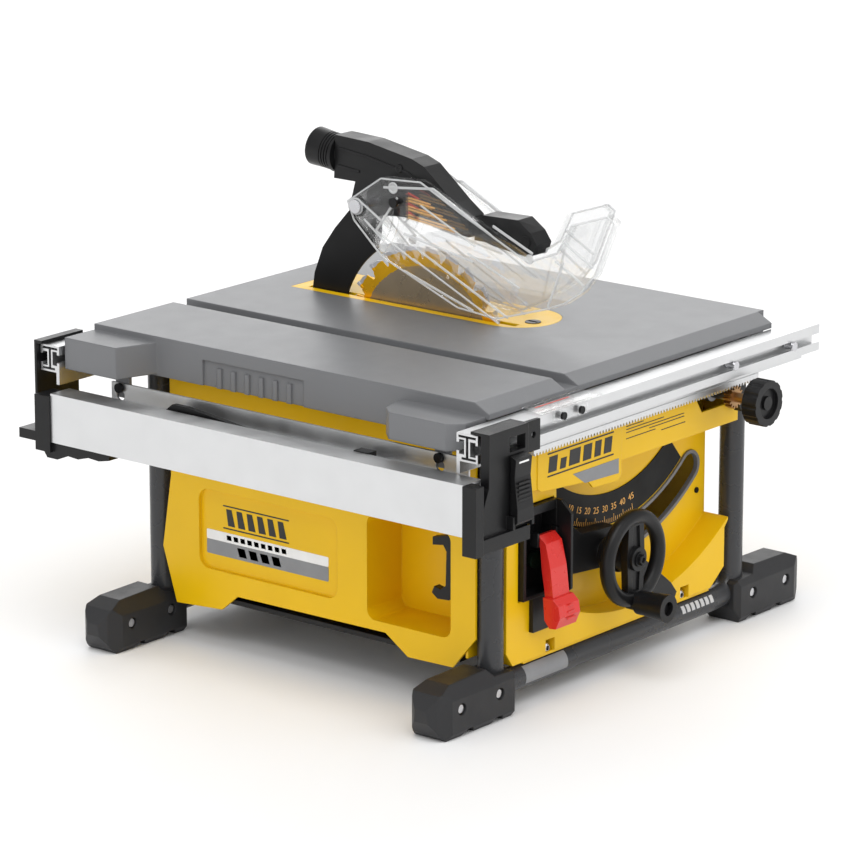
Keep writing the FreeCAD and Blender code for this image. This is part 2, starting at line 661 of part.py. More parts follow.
# ---------------------------------------------------------------------------
# Switch
# ---------------------------------------------------------------------------
def build_switch():
    left, right = dim.switch_left, dim.switch_right
    face, back = dim.switch_face, dim.switch_back
    foot, head = dim.switch_foot, dim.switch_head
    wall = 4
    pocket_back = face + 18
    base = block((left, right), (face, back), (foot, head))
    pocket = block((left + wall, right - wall), (face - 1, pocket_back), (foot + wall, head - 9))
    cheek = plate("X", [(face, head), (face - 5, head), (face - 18, head - 12), (face - 18, foot + 5),
                        (face - 12, foot), (face, foot)], (right - 3.5, right))
    chin = block((left + 16, right), (face + 1, dim.panel_front - 0.2), (foot - 35, foot))
    pin = (dim.paddle_pin_y, dim.paddle_pin_z)
    ears = [block((x, x + 3), (face - 3, face + 6), (pin[1] - 7, pin[1] + 7)) for x in (-140.5, -111)]
    button = (dim.button_x, dim.button_z)
    button_hole = rod("Y", button, dim.button_radius + dim.fit_gap, (pocket_back - 1, back + 1))
    axle = rod("X", pin, 1.95, (-140.5, -108))
    node(fuse(cut(fuse(cut(base, pocket), cheek, chin, *ears), button_hole), axle), "switch_box")
    neck = plate("X", [(-224, 168), (-229.5, 169), (-238, 162), (-244, 138), (-248, 106), (-238, 106),
                       (-233, 138), (-231, 158), (-224, 161)], (-137, -111.5))
    pad = plate("X", [(-238, 110), (-250, 110), (-257, 104), (-259, 93), (-254, 81), (-246, 80),
                      (-240, 87)], (-141, -109))
    node(cut(fuse(neck, pad), rod("X", pin, 2.05, (-138, -111))), "stop_paddle")
    stem = rod("Y", button, dim.button_radius, (pocket_back - 4, back - 1))
    cap = rod("Y", button, dim.button_radius + 1.8, (pocket_back - 7, pocket_back - 3.3))
    node(fuse(stem, cap), "start_button")
    contacts = cut(block((-146, -112), (back, back + 24), (120, 165)),
                   rod("Y", button, dim.button_radius + 1, (back - 1, back + 5)))
    module = block((-170, -100), (118, 176), (dim.pan_top, dim.pan_top + 45))
    node(group([contacts, module]), "electronics")


# ---------------------------------------------------------------------------
# Rails, racks and their drive
# ---------------------------------------------------------------------------
def rail_profile(place):
    """Section of a rail; place turns a front rail depth into this rail's depth."""
    outer, inner = dim.rail_outer, dim.rail_inner
    top, low, foot = dim.rail_top, dim.rail_bottom, dim.flange_foot
    back_channel = [(inner, top - 9), (inner - 3, top - 9), (inner - 3, top - 6), (inner - 9, top - 6),
                    (inner - 9, top - 20), (inner - 3, top - 20), (inner - 3, top - 17),
                    (inner, top - 17)]
    face_channel = [(outer, low + 8.5), (outer + 2.5, low + 8.5), (outer + 2.5, low + 6),
                    (outer + 9, low + 6), (outer + 9, low + 20), (outer + 2.5, low + 20),
                    (outer + 2.5, low + 17.5), (outer, low + 17.5)]
    points = [(outer, top), (inner, top), *back_channel, (inner, foot), (inner - 4, foot), (inner - 4, low),
              (outer, low), *face_channel]
    return [(place(y), z) for y, z in points]


def rail_cavity(place):
    """The closed chamber inside a rail, shaped like an I."""
    outer, inner, top, low = dim.rail_outer, dim.rail_inner, dim.rail_top, dim.rail_bottom
    web = (outer + 11, inner - 11)
    points = [(outer + 2.2, top - 2), (inner - 2.2, top - 2), (inner - 2.2, top - 4.2), (web[1], top - 4.2),
              (web[1], low + 4.2), (inner - 6, low + 4.2), (inner - 6, low + 2), (outer + 2.2, low + 2),
              (outer + 2.2, low + 4.2), (web[0], low + 4.2), (web[0], top - 4.2), (outer + 2.2, top - 4.2)]
    return [(place(y), z) for y, z in points]


def same(y):
    return y


def rack_outline():
    """Straight-sided teeth that hang from a strip and mesh with the pinion below."""
    module = float(dim.gear_module)
    pitch = math.pi * module
    pitch_z = float(dim.pinion_z) + module * float(dim.pinion_teeth) / 2
    top = float(dim.flange_foot)
    count = int(float(dim.rack_teeth))
    before = round((float(dim.pinion_x) - float(dim.rack_left)) / pitch)
    first = float(dim.pinion_x) - before * pitch
    last = first + (count - 1) * pitch
    half = pitch / 4 - float(dim.gear_backlash) / 2
    lean = math.tan(math.radians(20))
    tip, root = 0.8 * module, 1.1 * module
    points = [(first - pitch / 2, top), (first - pitch / 2, pitch_z + root)]
    for tooth in range(count):
        x = first + tooth * pitch
        points += [(x - half - root * lean, pitch_z + root), (x - half + tip * lean, pitch_z - tip),
                   (x + half - tip * lean, pitch_z - tip), (x + half + root * lean, pitch_z + root)]
    points += [(last + pitch / 2, pitch_z + root), (last + pitch / 2, top)]
    return points


def build_rails():
    pins = []
    for place, name in ((same, "front_rail"), (mirror_y, "rear_rail")):
        bar = cut(plate("X", rail_profile(place), (dim.rail_left, dim.rail_right)),
                  plate("X", rail_cavity(place), (dim.rail_left - 1, dim.rail_right + 1)))
        rack_span = in_order(place(dim.rail_inner - 5), place(dim.rail_inner + 1))
        node(fuse(bar, feature(prism("Y", rack_outline(), rack_span))), name)
        for x in (125, 226):
            head = rod("Y", (x, 291), 4.6, in_order(place(dim.rail_outer - 3.5), place(dim.rail_outer)))
            stem = rod("Y", (x, 291), 3.6, in_order(place(dim.rail_outer), place(dim.rail_outer + 8)))
            pins.append(fuse(head, stem))
    node(group(pins), "rail_pins")


def build_pinion():
    axis = (dim.pinion_x, dim.pinion_z)
    radius = dim.pinion_shaft_radius
    teeth = int(float(dim.pinion_teeth))
    shaft = rod("Y", axis, radius, (dim.knob_front + 9, mirror_y(dim.rail_inner - 8)))
    gears = []
    for place in (same, mirror_y):
        span = in_order(place(dim.rail_inner - 6), place(dim.rail_inner + 2))
        gears.append(spur_gear("Y", axis, float(dim.gear_module), teeth, float(dim.gear_backlash),
                               span, radius, 90 + 180 / teeth))
    node(fuse(shaft, *gears), "pinion_shaft")
    front, back = dim.knob_front, dim.knob_back
    body = fuse(rod("Y", axis, dim.knob_radius, (front, back - 2)),
                taper("Y", axis, (dim.knob_radius, dim.knob_radius - 3), (back - 2, back)))
    dish = rod("Y", axis, dim.knob_radius - 8, (front - 1, front + 4))
    boss = rod("Y", axis, 7, (front + 1, front + 5))
    reach = dim.knob_radius + 3.2
    tools = [rod("Y", axis, radius, (front + 9, back + 1))]
    for number in range(12):
        angle = math.radians(30 * number)
        spot = (dim.pinion_x + reach * math.cos(angle), dim.pinion_z + reach * math.sin(angle))
        tools.append(rod("Y", spot, 4.2, (front - 1, back + 1)))
    node(cut(fuse(cut(body, dish), boss), *tools), "fence_adjust_knob")


def build_rail_guides():
    """Tongues that carry the rails, and the pinion shaft's two bearings."""
    inner, top = dim.rail_inner, dim.rail_top
    tongue = [(inner + 0.6, top - 21), (inner + 0.6, top - 16), (inner - 3.6, top - 16),
              (inner - 3.6, top - 19.2), (inner - 8.4, top - 19.2), (inner - 8.4, top - 6.8),
              (inner - 3.6, top - 6.8), (inner - 3.6, top - 10), (inner + 0.6, top - 10),
              (inner + 0.6, top - 5)]
    pieces = []
    for place, edge in ((same, dim.table_front), (mirror_y, dim.table_rear)):
        outline = [(edge, top - 21), *[(place(y), z) for y, z in tongue], (edge, top - 5)]
        for x in guide_lefts:
            pieces.append(plate("X", outline, (x, x + 24)))
    axis = (dim.pinion_x, dim.pinion_z)
    wall = dim.table_wall
    for span in ((dim.table_front + wall, dim.table_front + wall + 10),
                 (dim.table_rear - wall - 10, dim.table_rear - wall)):
        hanger = block(around(dim.pinion_x, 9), span, (dim.pinion_z, skin_under))
        bore = rod("Y", axis, dim.pinion_shaft_radius + 0.1, span)
        pieces.append(cut(fuse(hanger, rod("Y", axis, 9, span)), bore))
    node(group(pieces), "rail_guides")


def build_rail_lock():
    axis = (181, 257)
    lever = plate("Y", [(175, 257), (176, 262), (181, 264), (186, 262), (187, 257), (186, 232), (180, 228),
                        (176, 234)], (-241, -232))
    node(cut(lever, rod("Y", axis, 3.1, (-242, -231))), "rail_lock_lever")
    case_screws.append(rod("Y", axis, 3, (-242, dim.table_front)))


def build_cursor():
    """Clear window over the rail's scale."""
    window = block((-186, -96), (-272.5, -244), (306.6, 308.6))
    skirt = block((-170, -116), (-272.5, -270.5), (294, 306.7))
    node(fuse(window, skirt), "scale_cursor")
    for x in (-157, -129):
        case_screws.append(rod("Y", (x, 299.5), 3.8, (-275, -272.5)))


# ---------------------------------------------------------------------------
# Tilting frame, lifting screw and handwheel
# ---------------------------------------------------------------------------
def tilt_outline(points):
    """Places measured from the tilt axis."""
    return [(blade_side(u), dim.table_top + w) for u, w in points]


def build_tilt_frame():
    top = dim.table_top
    front_outline = tilt_outline([(-75, -24), (-10, -24), (28, -58), (36, -64), (36, -92), (30, -110),
                                  (-6, -214), (-60, -214), (-66, -190), (-75, -120)])
    rear_outline = tilt_outline([(-50, -24), (10, -24), (28, -60), (36, -64), (36, -92), (20, -120),
                                 (-30, -192), (-64, -192), (-64, -170)])
    front_plate = plate("Y", front_outline, (-128, -118))
    rear_plate = plate("Y", rear_outline, (196, 204))
    low_beam = block((blade_side(-62), blade_side(-50)), (-118, 196), (top - 177, top - 167))
    high_beam = block((blade_side(28), blade_side(36)), (-118, 196), (top - 90, top - 66))
    lips = []
    for span in ((-144, -128), (204, 219)):
        lips.append(sector("Y", bevel_centre, 64.5, 69, span, -148, -80))
        lips.append(sector("Y", bevel_centre, 47, 51.5, span, -148, -80))
    axis = (wheel_x, wheel_z)
    sleeve = rod("Y", axis, 10, (-236, -110))
    shelf = (blade_side(-54), blade_side(-5))
    front_shelves = [block(shelf, (-118, -72), span)
                     for span in ((top - 29, top - 23), (top - 182, top - 174))]
    rear_shelves = [block((blade_side(-24), blade_side(-5)), (178, 196), (top - 30, top - 24)),
                    block((blade_side(-64), blade_side(-5)), (178, 196), (top - 178, top - 170))]
    solid = fuse(front_plate, rear_plate, low_beam, high_beam, *lips, sleeve, *front_shelves,
                 *rear_shelves)
    holes = [rod("Y", axis, dim.shaft_radius + 0.1, (-237, -109)),
             rod("Z", (wheel_x, screw_y), dim.screw_radius + 0.1, (130, 300))]
    holes += [rod("Z", place, dim.rod_radius, (136, 300)) for place in rod_places]
    notch = block(around(wheel_x, 14), (-118, -70), (106, top - 182))
    node(cut(solid, notch, *holes), "tilt_frame")
    rods = [rod("Z", place, dim.rod_radius, (top - 182, top - 24)) for place in rod_places]
    node(group(rods), "guide_rods")


def build_trunnions():
    """Half rings under the table that the tilting frame's lips ride on."""
    above = block((-100, 150), (-200, 230), (skin_under, skin_under + 20))
    rings = [cut(sector("Y", bevel_centre, 52, 64, span, -174, -6), above)
             for span in ((-142, -129), (206, 218))]
    node(group(rings), "trunnion_brackets")


def build_bevel_bracket():
    x, z = wheel_x, wheel_z
    arm = plate("Y", [(x + 20, z - 18), (x - 48, z - 12), (x - 66, z + 8), (x - 66, z + 38),
                      (x - 52, z + 38), (x - 36, z + 26), (x + 20, z + 22)], (-214, -197))
    turn = math.radians(33.8)
    reach = float(dim.scale_out) + 1
    tip_x = float(dim.blade_x) - reach * math.sin(turn)
    tip_z = float(dim.table_top) - reach * math.cos(turn)
    pointer = prism("Y", [(tip_x, tip_z + 6), (tip_x - 5, tip_z - 12), (tip_x + 9, tip_z - 12)],
                    (-199, -195.4))
    node(fuse(cut(arm, rod("Y", (x, z), 10.1, (-215, -196))), feature(pointer)), "bevel_bracket")


def build_lock_lever():
    x, z = wheel_x, wheel_z
    ring = rod("Y", (x, z), 17, (-235.5, -219))
    arm = plate("Y", [(x + 6, z - 14), (x + 74, z - 66), (x + 88, z - 70), (x + 94, z - 60),
                      (x + 84, z - 48), (x + 12, z + 8)], (-235.5, -226.4))
    node(cut(fuse(ring, arm), rod("Y", (x, z), 10.3, (-236, -218))), "bevel_lock_lever")


def bevel_gear(vector, apex, teeth, phase, bore):
    """A small mitre gear whose pitch cone opens from the apex along a vector."""
    near, far = 7.0, 13.0
    root, height = 1.6, 3.2
    cone = Part.makeCone(near - root, far - root, far - near, apex + vector * near, vector)
    hub = Part.makeCylinder(far - 3, 3, apex + vector * far, vector)
    side = FreeCAD.Vector(1, 0, 0)
    up = vector.cross(side)
    shapes = [hub]
    for number in range(teeth):
        angle = math.radians(phase + 360 * number / teeth)
        out = side * math.cos(angle) + up * math.sin(angle)
        across = vector.cross(out)
        wires = []
        for reach in (near, far):
            low = apex + vector * reach + out * (reach - root - 0.8)
            high = low + out * height
            wide, narrow = across * (reach * 0.14), across * (reach * 0.07)
            corners = [low - wide, low + wide, high + narrow, high - narrow]
            wires.append(Part.makePolygon(corners + corners[:1]))
        shapes.append(Part.makeLoft(wires, True, True))
    hole = Part.makeCylinder(bore, far + 10, apex, vector)
    return cone.multiFuse(shapes).cut(hole)


def build_lift_drive():
    """Handwheel shaft and lifting screw, joined by mitre gears."""
    apex = FreeCAD.Vector(float(wheel_x), float(screw_y), float(wheel_z))
    teeth = 12
    ahead = FreeCAD.Vector(0, -1, 0)
    above = FreeCAD.Vector(0, 0, 1)
    shaft_gear = feature(bevel_gear(ahead, apex, teeth, 90, float(dim.shaft_radius)))
    screw_gear = feature(bevel_gear(above, apex, teeth, 90 + 180 / teeth, float(dim.screw_radius)))
    shaft = rod("Y", (wheel_x, wheel_z), dim.shaft_radius, (dim.wheel_y - 6, screw_y - 7))
    node(fuse(shaft, shaft_gear), "handwheel_shaft")
    screw = rod("Z", (wheel_x, screw_y), dim.screw_radius, (wheel_z + 7, dim.table_top - 22))
    node(fuse(screw, screw_gear), "lift_screw")


def build_handwheel():
    x, z, y = wheel_x, wheel_z, dim.wheel_y
    crank = (x, z - dim.crank_radius)
    rim = doc.addObject("Part::Torus", "Rim")
    bind(rim, "Radius1", dim.wheel_radius)
    bind(rim, "Radius2", dim.rim_radius)
    rim.Placement = FreeCAD.Placement(FreeCAD.Vector(), TURNS["Y"])
    for axis, place in zip("xyz", (x, y, z)):
        bind(rim, "Placement.Base." + axis, place)
    spoke = plate("Y", [(x - 12, z - 38), (x + 12, z - 38), (x + 14, z), (x + 12, z + 38),
                        (x - 12, z + 38), (x - 14, z)], (y - 4, y + 4))
    groove = plate("Y", [(x - 5, z - 33), (x + 5, z - 33), (x + 7, z), (x + 5, z + 33),
                         (x - 5, z + 33), (x - 7, z)], (y - 5, y - 2))
    hub = fuse(rod("Y", (x, z), 12, (y - 8, y + 12)), taper("Y", (x, z), (12, 15), (y + 2, y + 12)))
    boss = rod("Y", crank, 9, (y - 9, y + 4))
    bore = rod("Y", (x, z), dim.shaft_radius, (y - 6, y + 13))
    post = fuse(rod("Y", crank, 4, (-286, y)), rod("Y", crank, 6.5, (-289, -286)))
    node(fuse(cut(fuse(rim, cut(spoke, groove), hub, boss), bore), post), "handwheel")
    grip = fuse(taper("Y", crank, (14, 12), (-dim.half_depth, -268)), rod("Y", crank, 12, (-268, y - 9.3)))
    node(cut(grip, rod("Y", crank, 7, (-295, -285.7)), rod("Y", crank, 4.1, (-290, y))), "crank_knob")


# ---------------------------------------------------------------------------
# Lifting carriage: gearbox, motor, arbor and blade
# ---------------------------------------------------------------------------
def build_carriage():
    near, far = blade_side(-20), blade_side(-8)
    arbor, motor = (dim.arbor_y, arbor_z), (motor_y, motor_z)
    lift_low, lift_high = 262, 286
    back = plate("X", [(-100, 250), (-100, 286), (-60, 290), (0, 301), (85, 301), (112, 292),
                       (178, 290), (178, 252), (112, 240), (96, 226), (50, 226), (10, 252),
                       (-40, 258)], (near, far))
    nut_arm = block((blade_side(-50), near), (screw_y - 11, screw_y + 11), (lift_low, lift_high))
    front_lug = rod("Z", rod_places[0], 10, (254, 286))
    rear_lug = rod("Z", rod_places[1], 9, (256, 288))
    rear_link = block((near, far), (170, dim.rear_rod_y), (256, 288))
    half = dim.knife_half
    seat = block((far, blade_side(8)), (152, 180), (246, 288))
    slit = block((blade_side(-half), blade_side(half)), (151, 181), (252, 289))
    clamp_screw = fuse(rod("X", (166, 270), 4, (blade_side(8), blade_side(13))),
                       rod("X", (166, 270), 8, (blade_side(13), blade_side(19))))
    solid = fuse(back, nut_arm, front_lug, rear_lug, rear_link, cut(seat, slit), clamp_screw)
    holes = [rod("Z", (wheel_x, screw_y), 8, (lift_low - 2, lift_high + 2)),
             rod("X", arbor, 14, (near - 1, far + 1)), rod("X", motor, 9, (near - 1, far + 1))]
    holes += [rod("Z", place, dim.rod_radius + 0.1, (245, 295)) for place in rod_places]
    node(cut(solid, *holes), "lift_carriage")
    bushings = [tube("Z", (wheel_x, screw_y), 8, dim.screw_radius + 0.1, (lift_low, lift_high)),
                tube("X", arbor, 14, dim.arbor_radius + 0.05, (near, far)),
                tube("X", motor, 9, 4.05, (near, far))]
    node(group(bushings), "carriage_bushings")
    edge, floor = blade_side(-38), blade_side(-36)
    cover = fuse(rod("X", arbor, 31, (edge, near)), rod("X", motor, 30, (edge, near)))
    cavity = fuse(rod("X", arbor, 28, (floor, near)), rod("X", motor, 15, (floor, near)))
    node(cut(cover, cavity, rod("X", motor, 4.6, (edge - 1, near))), "gear_cover")


def build_motor():
    axis = (motor_y, motor_z)
    near, far = blade_side(dim.motor_near), blade_side(dim.motor_far)
    radius = dim.motor_radius
    can = cut(rod("X", axis, radius, (far - 6, near)), rod("X", axis, radius - 4, (far, near - 4)),
              rod("X", axis, 4.2, (far - 7, near + 1)))
    stator = tube("X", axis, radius - 4, radius - 10, (far + 48, near - 8))
    slots = [block((far + 6, far + 40), around(motor_y, 1.5), (motor_z - 50, motor_z - 20)),
             block((far + 6, far + 40), (motor_y - 50, motor_y - 20), around(motor_z, 1.5)),
             block((far + 6, far + 40), (motor_y + 20, motor_y + 50), around(motor_z, 1.5))]
    node(fuse(cut(can, *slots), stator), "motor_housing")
    teeth = int(float(dim.motor_teeth))
    pinion = spur_gear("X", axis, float(dim.gear_module), teeth, float(dim.gear_backlash),
                       (blade_side(-34), blade_side(-24)), 4, toward_arbor + 180 / teeth)
    core = rod("X", axis, 27, (far + 50, near - 10))
    fan = rod("X", axis, 32, (far + 12, far + 16))
    shaft = rod("X", axis, 4, (far - 5, blade_side(-9)))
    collar = rod("X", axis, 8, (far + 10, far + 50))
    rotor = fuse(core, fan, shaft, collar, pinion)
    node(rotor, "motor_rotor")


def build_arbor():
    axis = (dim.arbor_y, arbor_z)
    plate_half = dim.blade_plate / 2
    radius = dim.arbor_radius
    teeth = int(float(dim.arbor_teeth))
    gear = spur_gear("X", axis, float(dim.gear_module), teeth, float(dim.gear_backlash),
                     (blade_side(-34), blade_side(-24)), radius, toward_motor)
    shaft = fuse(rod("X", axis, radius, (blade_side(-36), blade_side(22))),
                 rod("X", axis, dim.blade_bore - 0.05, around(dim.blade_x, plate_half)))
    node(fuse(shaft, gear), "arbor_shaft")
    outer_face = plate_half + dim.flange_thick
    spans = ((blade_side(-outer_face), blade_side(-plate_half)),
             (blade_side(plate_half), blade_side(outer_face)))
    pieces = [tube("X", axis, dim.flange_radius, radius, span) for span in spans]
    points = []
    for number in range(6):
        angle = math.radians(60 * number)
        points.append((float(axis[0]) + 13 * math.cos(angle), float(axis[1]) + 13 * math.sin(angle)))
    nut = feature(prism("X", points, (blade_side(outer_face), blade_side(outer_face + 9))))
    hole = rod("X", axis, radius, (blade_side(outer_face - 1), blade_side(outer_face + 10)))
    pieces.append(cut(nut, hole))
    node(group(pieces), "arbor_flanges")


def build_blade():
    """Steel disc with gullets and wider carbide tips."""
    count = int(float(dim.tooth_count))
    radius = float(dim.blade_radius)
    step = 360 / count
    half, kerf_half = float(dim.blade_plate) / 2, float(dim.tooth_kerf) / 2
    middle = float(dim.blade_x)

    def at(reach, degrees):
        angle = math.radians(degrees)
        return (float(dim.arbor_y) + reach * math.cos(angle), float(arbor_z) + reach * math.sin(angle))

    outline = []
    tips = []
    for number in range(count):
        start = number * step
        outline += [at(radius - 1.2, start), at(radius - 2.2, start + step * 0.42),
                    at(radius - 5, start + step * 0.62), at(radius - 14, start + step * 0.74),
                    at(radius - 14, start + step * 0.86), at(radius - 9, start + step * 0.94),
                    at(radius - 9, start + step * 0.99)]
        tip = [at(radius, start), at(radius - 0.8, start + step * 0.13),
               at(radius - 8.4, start + step * 0.09), at(radius - 8.8, start - step * 0.004)]
        tips.append(prism("X", tip, (middle - kerf_half, middle + kerf_half)))
    disc = prism("X", outline, (middle - half, middle + half))
    centre = FreeCAD.Vector(middle - 5, float(dim.arbor_y), float(arbor_z))
    along = FreeCAD.Vector(1, 0, 0)
    holes = [Part.makeCylinder(float(dim.blade_bore), 10, centre, along)]
    for number in range(4):
        y, z = at(82, 90 * number + 20)
        holes.append(Part.makeCylinder(2.4, 10, FreeCAD.Vector(middle - 5, y, z), along))
    node(feature(disc.cut(holes).multiFuse(tips)), "saw_blade")


# ---------------------------------------------------------------------------
# Riving knife and guard
# ---------------------------------------------------------------------------
def build_knife():
    """A curved plate that follows the blade's rim and carries the guard."""
    inner = float(dim.blade_radius) + 6
    half = float(dim.knife_half)

    def on_rim(degrees):
        angle = math.radians(degrees)
        return FreeCAD.Vector(0, float(dim.arbor_y) + inner * math.cos(angle),
                              float(arbor_z) + inner * math.sin(angle))

    outline = [(101, 385), (96, 446), (122, 450), (139, 411), (161, 387), (178, 364), (189, 336),
               (192, 317), (188, 296), (180, 286), (180, 252), (152, 252)]
    route = [on_rim(54), *[FreeCAD.Vector(0, y, z) for y, z in outline], on_rim(-10)]
    edges = [Part.Arc(on_rim(-10), on_rim(22), on_rim(54)).toShape()]
    edges += [Part.LineSegment(first, second).toShape() for first, second in zip(route, route[1:])]
    knife = Part.Face(Part.Wire(edges)).extrude(FreeCAD.Vector(2 * half, 0, 0))
    knife.translate(FreeCAD.Vector(float(dim.blade_x) - half, 0, 0))
    hole = rod("X", guard_axis, 4.6, around(dim.blade_x, half + 1))
    node(cut(feature(knife), hole), "riving_knife")


def arm_block(half):
    return plate("X", [(152, 442), (150, 487), (107, 485), (50, 475), (34, 469), (-5, 437),
                       (-22, 425), (-24, 405), (60, 414), (92, 412), (104, 406), (124, 406),
                       (130, 420), (124, 442)], around(dim.blade_x, half))


def build_guard_arm():
    half = dim.arm_half
    middle = dim.blade_x
    hollow = plate("X", [(154, 448), (152, 481), (106, 479), (50, 469), (38, 464), (2, 436),
                         (0, 420), (56, 428), (120, 448)], around(middle, half - 3))
    knife_slot = plate("X", [(95, 400), (95, 446.2), (122, 450.2), (140, 411), (140, 400)],
                       around(middle, dim.knife_half + 0.05))
    mouth = plate("X", [(40, 400), (40, 432), (-10, 424), (-10, 400)], around(middle, half - 6))
    pin_hole = rod("X", guard_axis, 4.05, around(middle, half + 1))
    stops = []
    for side in (-1, 1):
        face = middle + side * (half - 2)
        cap = middle + side * (dim.guard_out + 0.3)
        tip = middle + side * (dim.guard_out + 3.2)
        stops.append(rod("X", guard_stop, 3, in_order(face, tip)))
        stops.append(rod("X", guard_stop, 5.2, in_order(cap, tip)))
    node(fuse(cut(arm_block(half), hollow, knife_slot, mouth, pin_hole), *stops), "guard_arm")
    grip = plate("X", [(-30, 403), (-30, 424), (-40, 430), (-84, 431), (-100, 420), (-108, 409),
                       (-106, 403)], around(middle, half - 1))
    keel = plate("X", [(-30, 404), (-106, 404), (-104, 398), (-92, 394), (-50, 399)], around(middle, 7))
    thumb = rod("X", (-94, 410), 6, around(middle, half))
    joint = block(around(middle, 8), (-31, -20), (407, 423))
    node(cut(fuse(grip, keel, thumb, joint), arm_block(half + 2)), "guard_handle")


def build_dust_port():
    """A ribbed spigot that leans up to the rear."""
    middle = float(dim.blade_x)
    start = FreeCAD.Vector(middle, 150, 465)
    along = FreeCAD.Rotation(FreeCAD.Vector(1, 0, 0), 7).multVec(FreeCAD.Vector(0, 1, 0))

    def ring(low, high, radius):
        return Part.makeCylinder(radius, high - low, start + along * low, along)

    mouth = Part.makeCone(19.2, 20, 17, start + along * 18, along)
    rings = [ring(6, 18, 18), mouth] + [ring(low, low + 1.8, 19.2) for low in (8, 11.5, 15)]
    body = ring(0, 6, 20).multiFuse(rings)
    shoulder = 5
    port = body.cut([ring(shoulder, 46, 16.5), ring(-1, shoulder + 1, 13)])
    arm = Part.makeBox(60, 40, 80, FreeCAD.Vector(middle - 30, 111.8, 430))
    node(feature(port.cut(arm)), "guard_dust_port")


def wing_back(y):
    """How far the right half's front wing is set back from the left half's."""
    return 34 * min(1, max(0, (-60 - y) / 90))


def build_guards():
    """Two clear half shells, a pivot pin and their arc slots."""
    outline = [(127, 424), (82, 454), (30, 457), (-23, 432), (-106, 395), (-141, 409), (-159, 439),
               (-203, 454), (-213, 448), (-190, 393), (-173, 372), (-152, 357.5), (-131, 349),
               (-67, 329), (-17, 333), (81, 371), (118, 404)]
    thick = float(dim.guard_thick)
    deep = 9.0
    pivot = FreeCAD.Vector(0, float(dim.guard_pivot_y), float(dim.guard_pivot_z))
    middle = float(dim.blade_x)
    slot_middle, slot_half = float(dim.guard_slot_radius), 3.8
    along = FreeCAD.Vector(1, 0, 0)
    slot = sector("X", guard_axis, slot_middle - slot_half, slot_middle + slot_half,
                  around(dim.blade_x, 30), 162, 236)
    doc.recompute()
    hole = Part.makeCylinder(4.15, 60, pivot + along * (middle - 30), along)
    for side, name in ((-1, "guard_left"), (1, "guard_right")):
        outside = middle + side * float(dim.guard_out)
        corners = [FreeCAD.Vector(outside, y + (wing_back(y) if side > 0 else 0), z) for y, z in outline]
        face = Part.Face(Part.makePolygon(corners + corners[:1]))
        solid = face.extrude(along * (-side * deep))
        tray = face.makeOffset2D(-2.4).extrude(along * (-side * deep))
        tray.translate(along * (-side * thick))
        boss = Part.makeCylinder(11, deep, pivot + along * outside, along * -side)
        node(feature(solid.cut(tray).fuse(boss).cut([hole, slot.Shape])), name)
    out = dim.guard_out
    pin = fuse(rod("X", guard_axis, 4, around(dim.blade_x, out + 1)),
               rod("X", guard_axis, 7, (blade_side(out + 0.6), blade_side(out + 3))),
               rod("X", guard_axis, 7, (blade_side(-out - 3), blade_side(-out - 0.6))))
    node(pin, "guard_pin")


# ---------------------------------------------------------------------------
# Rip fence in its storage place
# ---------------------------------------------------------------------------
def build_fence():
    left, right = dim.fence_left, dim.fence_right
    low, top, wall = dim.fence_foot, dim.fence_top, dim.fence_wall
    run = (dim.fence_front, dim.fence_rear)
    outer = block((left, right), run, (low, top))
    inner = block((left + wall, right - wall), (run[0] - 1, run[1] + 1), (low + wall, top - wall))
    web = block((left, right), run, around((low + top) / 2, wall / 2))
    node(fuse(cut(outer, inner), web), "fence_extrusion")
    node(fence_front_bracket(), "fence_front_bracket")
    latch = plate("X", [(-285.5, 222), (-286.5, 217.6), (-292, 217.6), (-294, 220), (-294, 232),
                        (-290.5, 262), (-292, 280), (-285.5, 283)], (-253, -229))
    ridges = [block((-250, -232), (-293.4, -289.5), (236 + 4 * number, 238 + 4 * number))
              for number in range(6)]
    node(cut(fuse(latch, *ridges), rod("X", front_latch_axis, 2.1, (-254, -228))), "fence_front_latch")
    node(fence_rear_bracket(), "fence_rear_bracket")
    rear_latch = block((-258, -236), (290.3, dim.half_depth), (237, 288))
    node(cut(rear_latch, rod("X", rear_latch_axis, 1.1, (-259, -235))), "fence_rear_latch")


def fence_front_bracket():
    edge = -dim.half_width
    wall = plate("Y", [(edge, 198), (-229, 198), (-224, 214), (-224, 306), (-283, 306), (-283, 258),
                       (-296, 228), (-296, 265), (edge, 265)], (-284, -274))
    end = block((edge, -298), (-290, -284), (198, 265))
    sill = block((-298, -226), (-288, -284), (198, 212))
    hook = block((-283, -224), (-284, -262), (306, 309))
    tab = cut(block((-225, -196), (-276, -272), (276, 306)), rod("Y", (-206, 292), 3, (-277, -271)))
    under = block((-280.7, -226), (-274, -271.5), (214, 276))
    ears = [block((x, x + 3.5), (-292, -284), (213, 226)) for x in (-257, -228.5)]
    window = block((-252, -229), (-285, -271), (286, 300))
    pin = rod("X", front_latch_axis, 2, (-257, -225))
    return fuse(cut(wall, window), end, sill, tab, hook, under, *ears, pin)


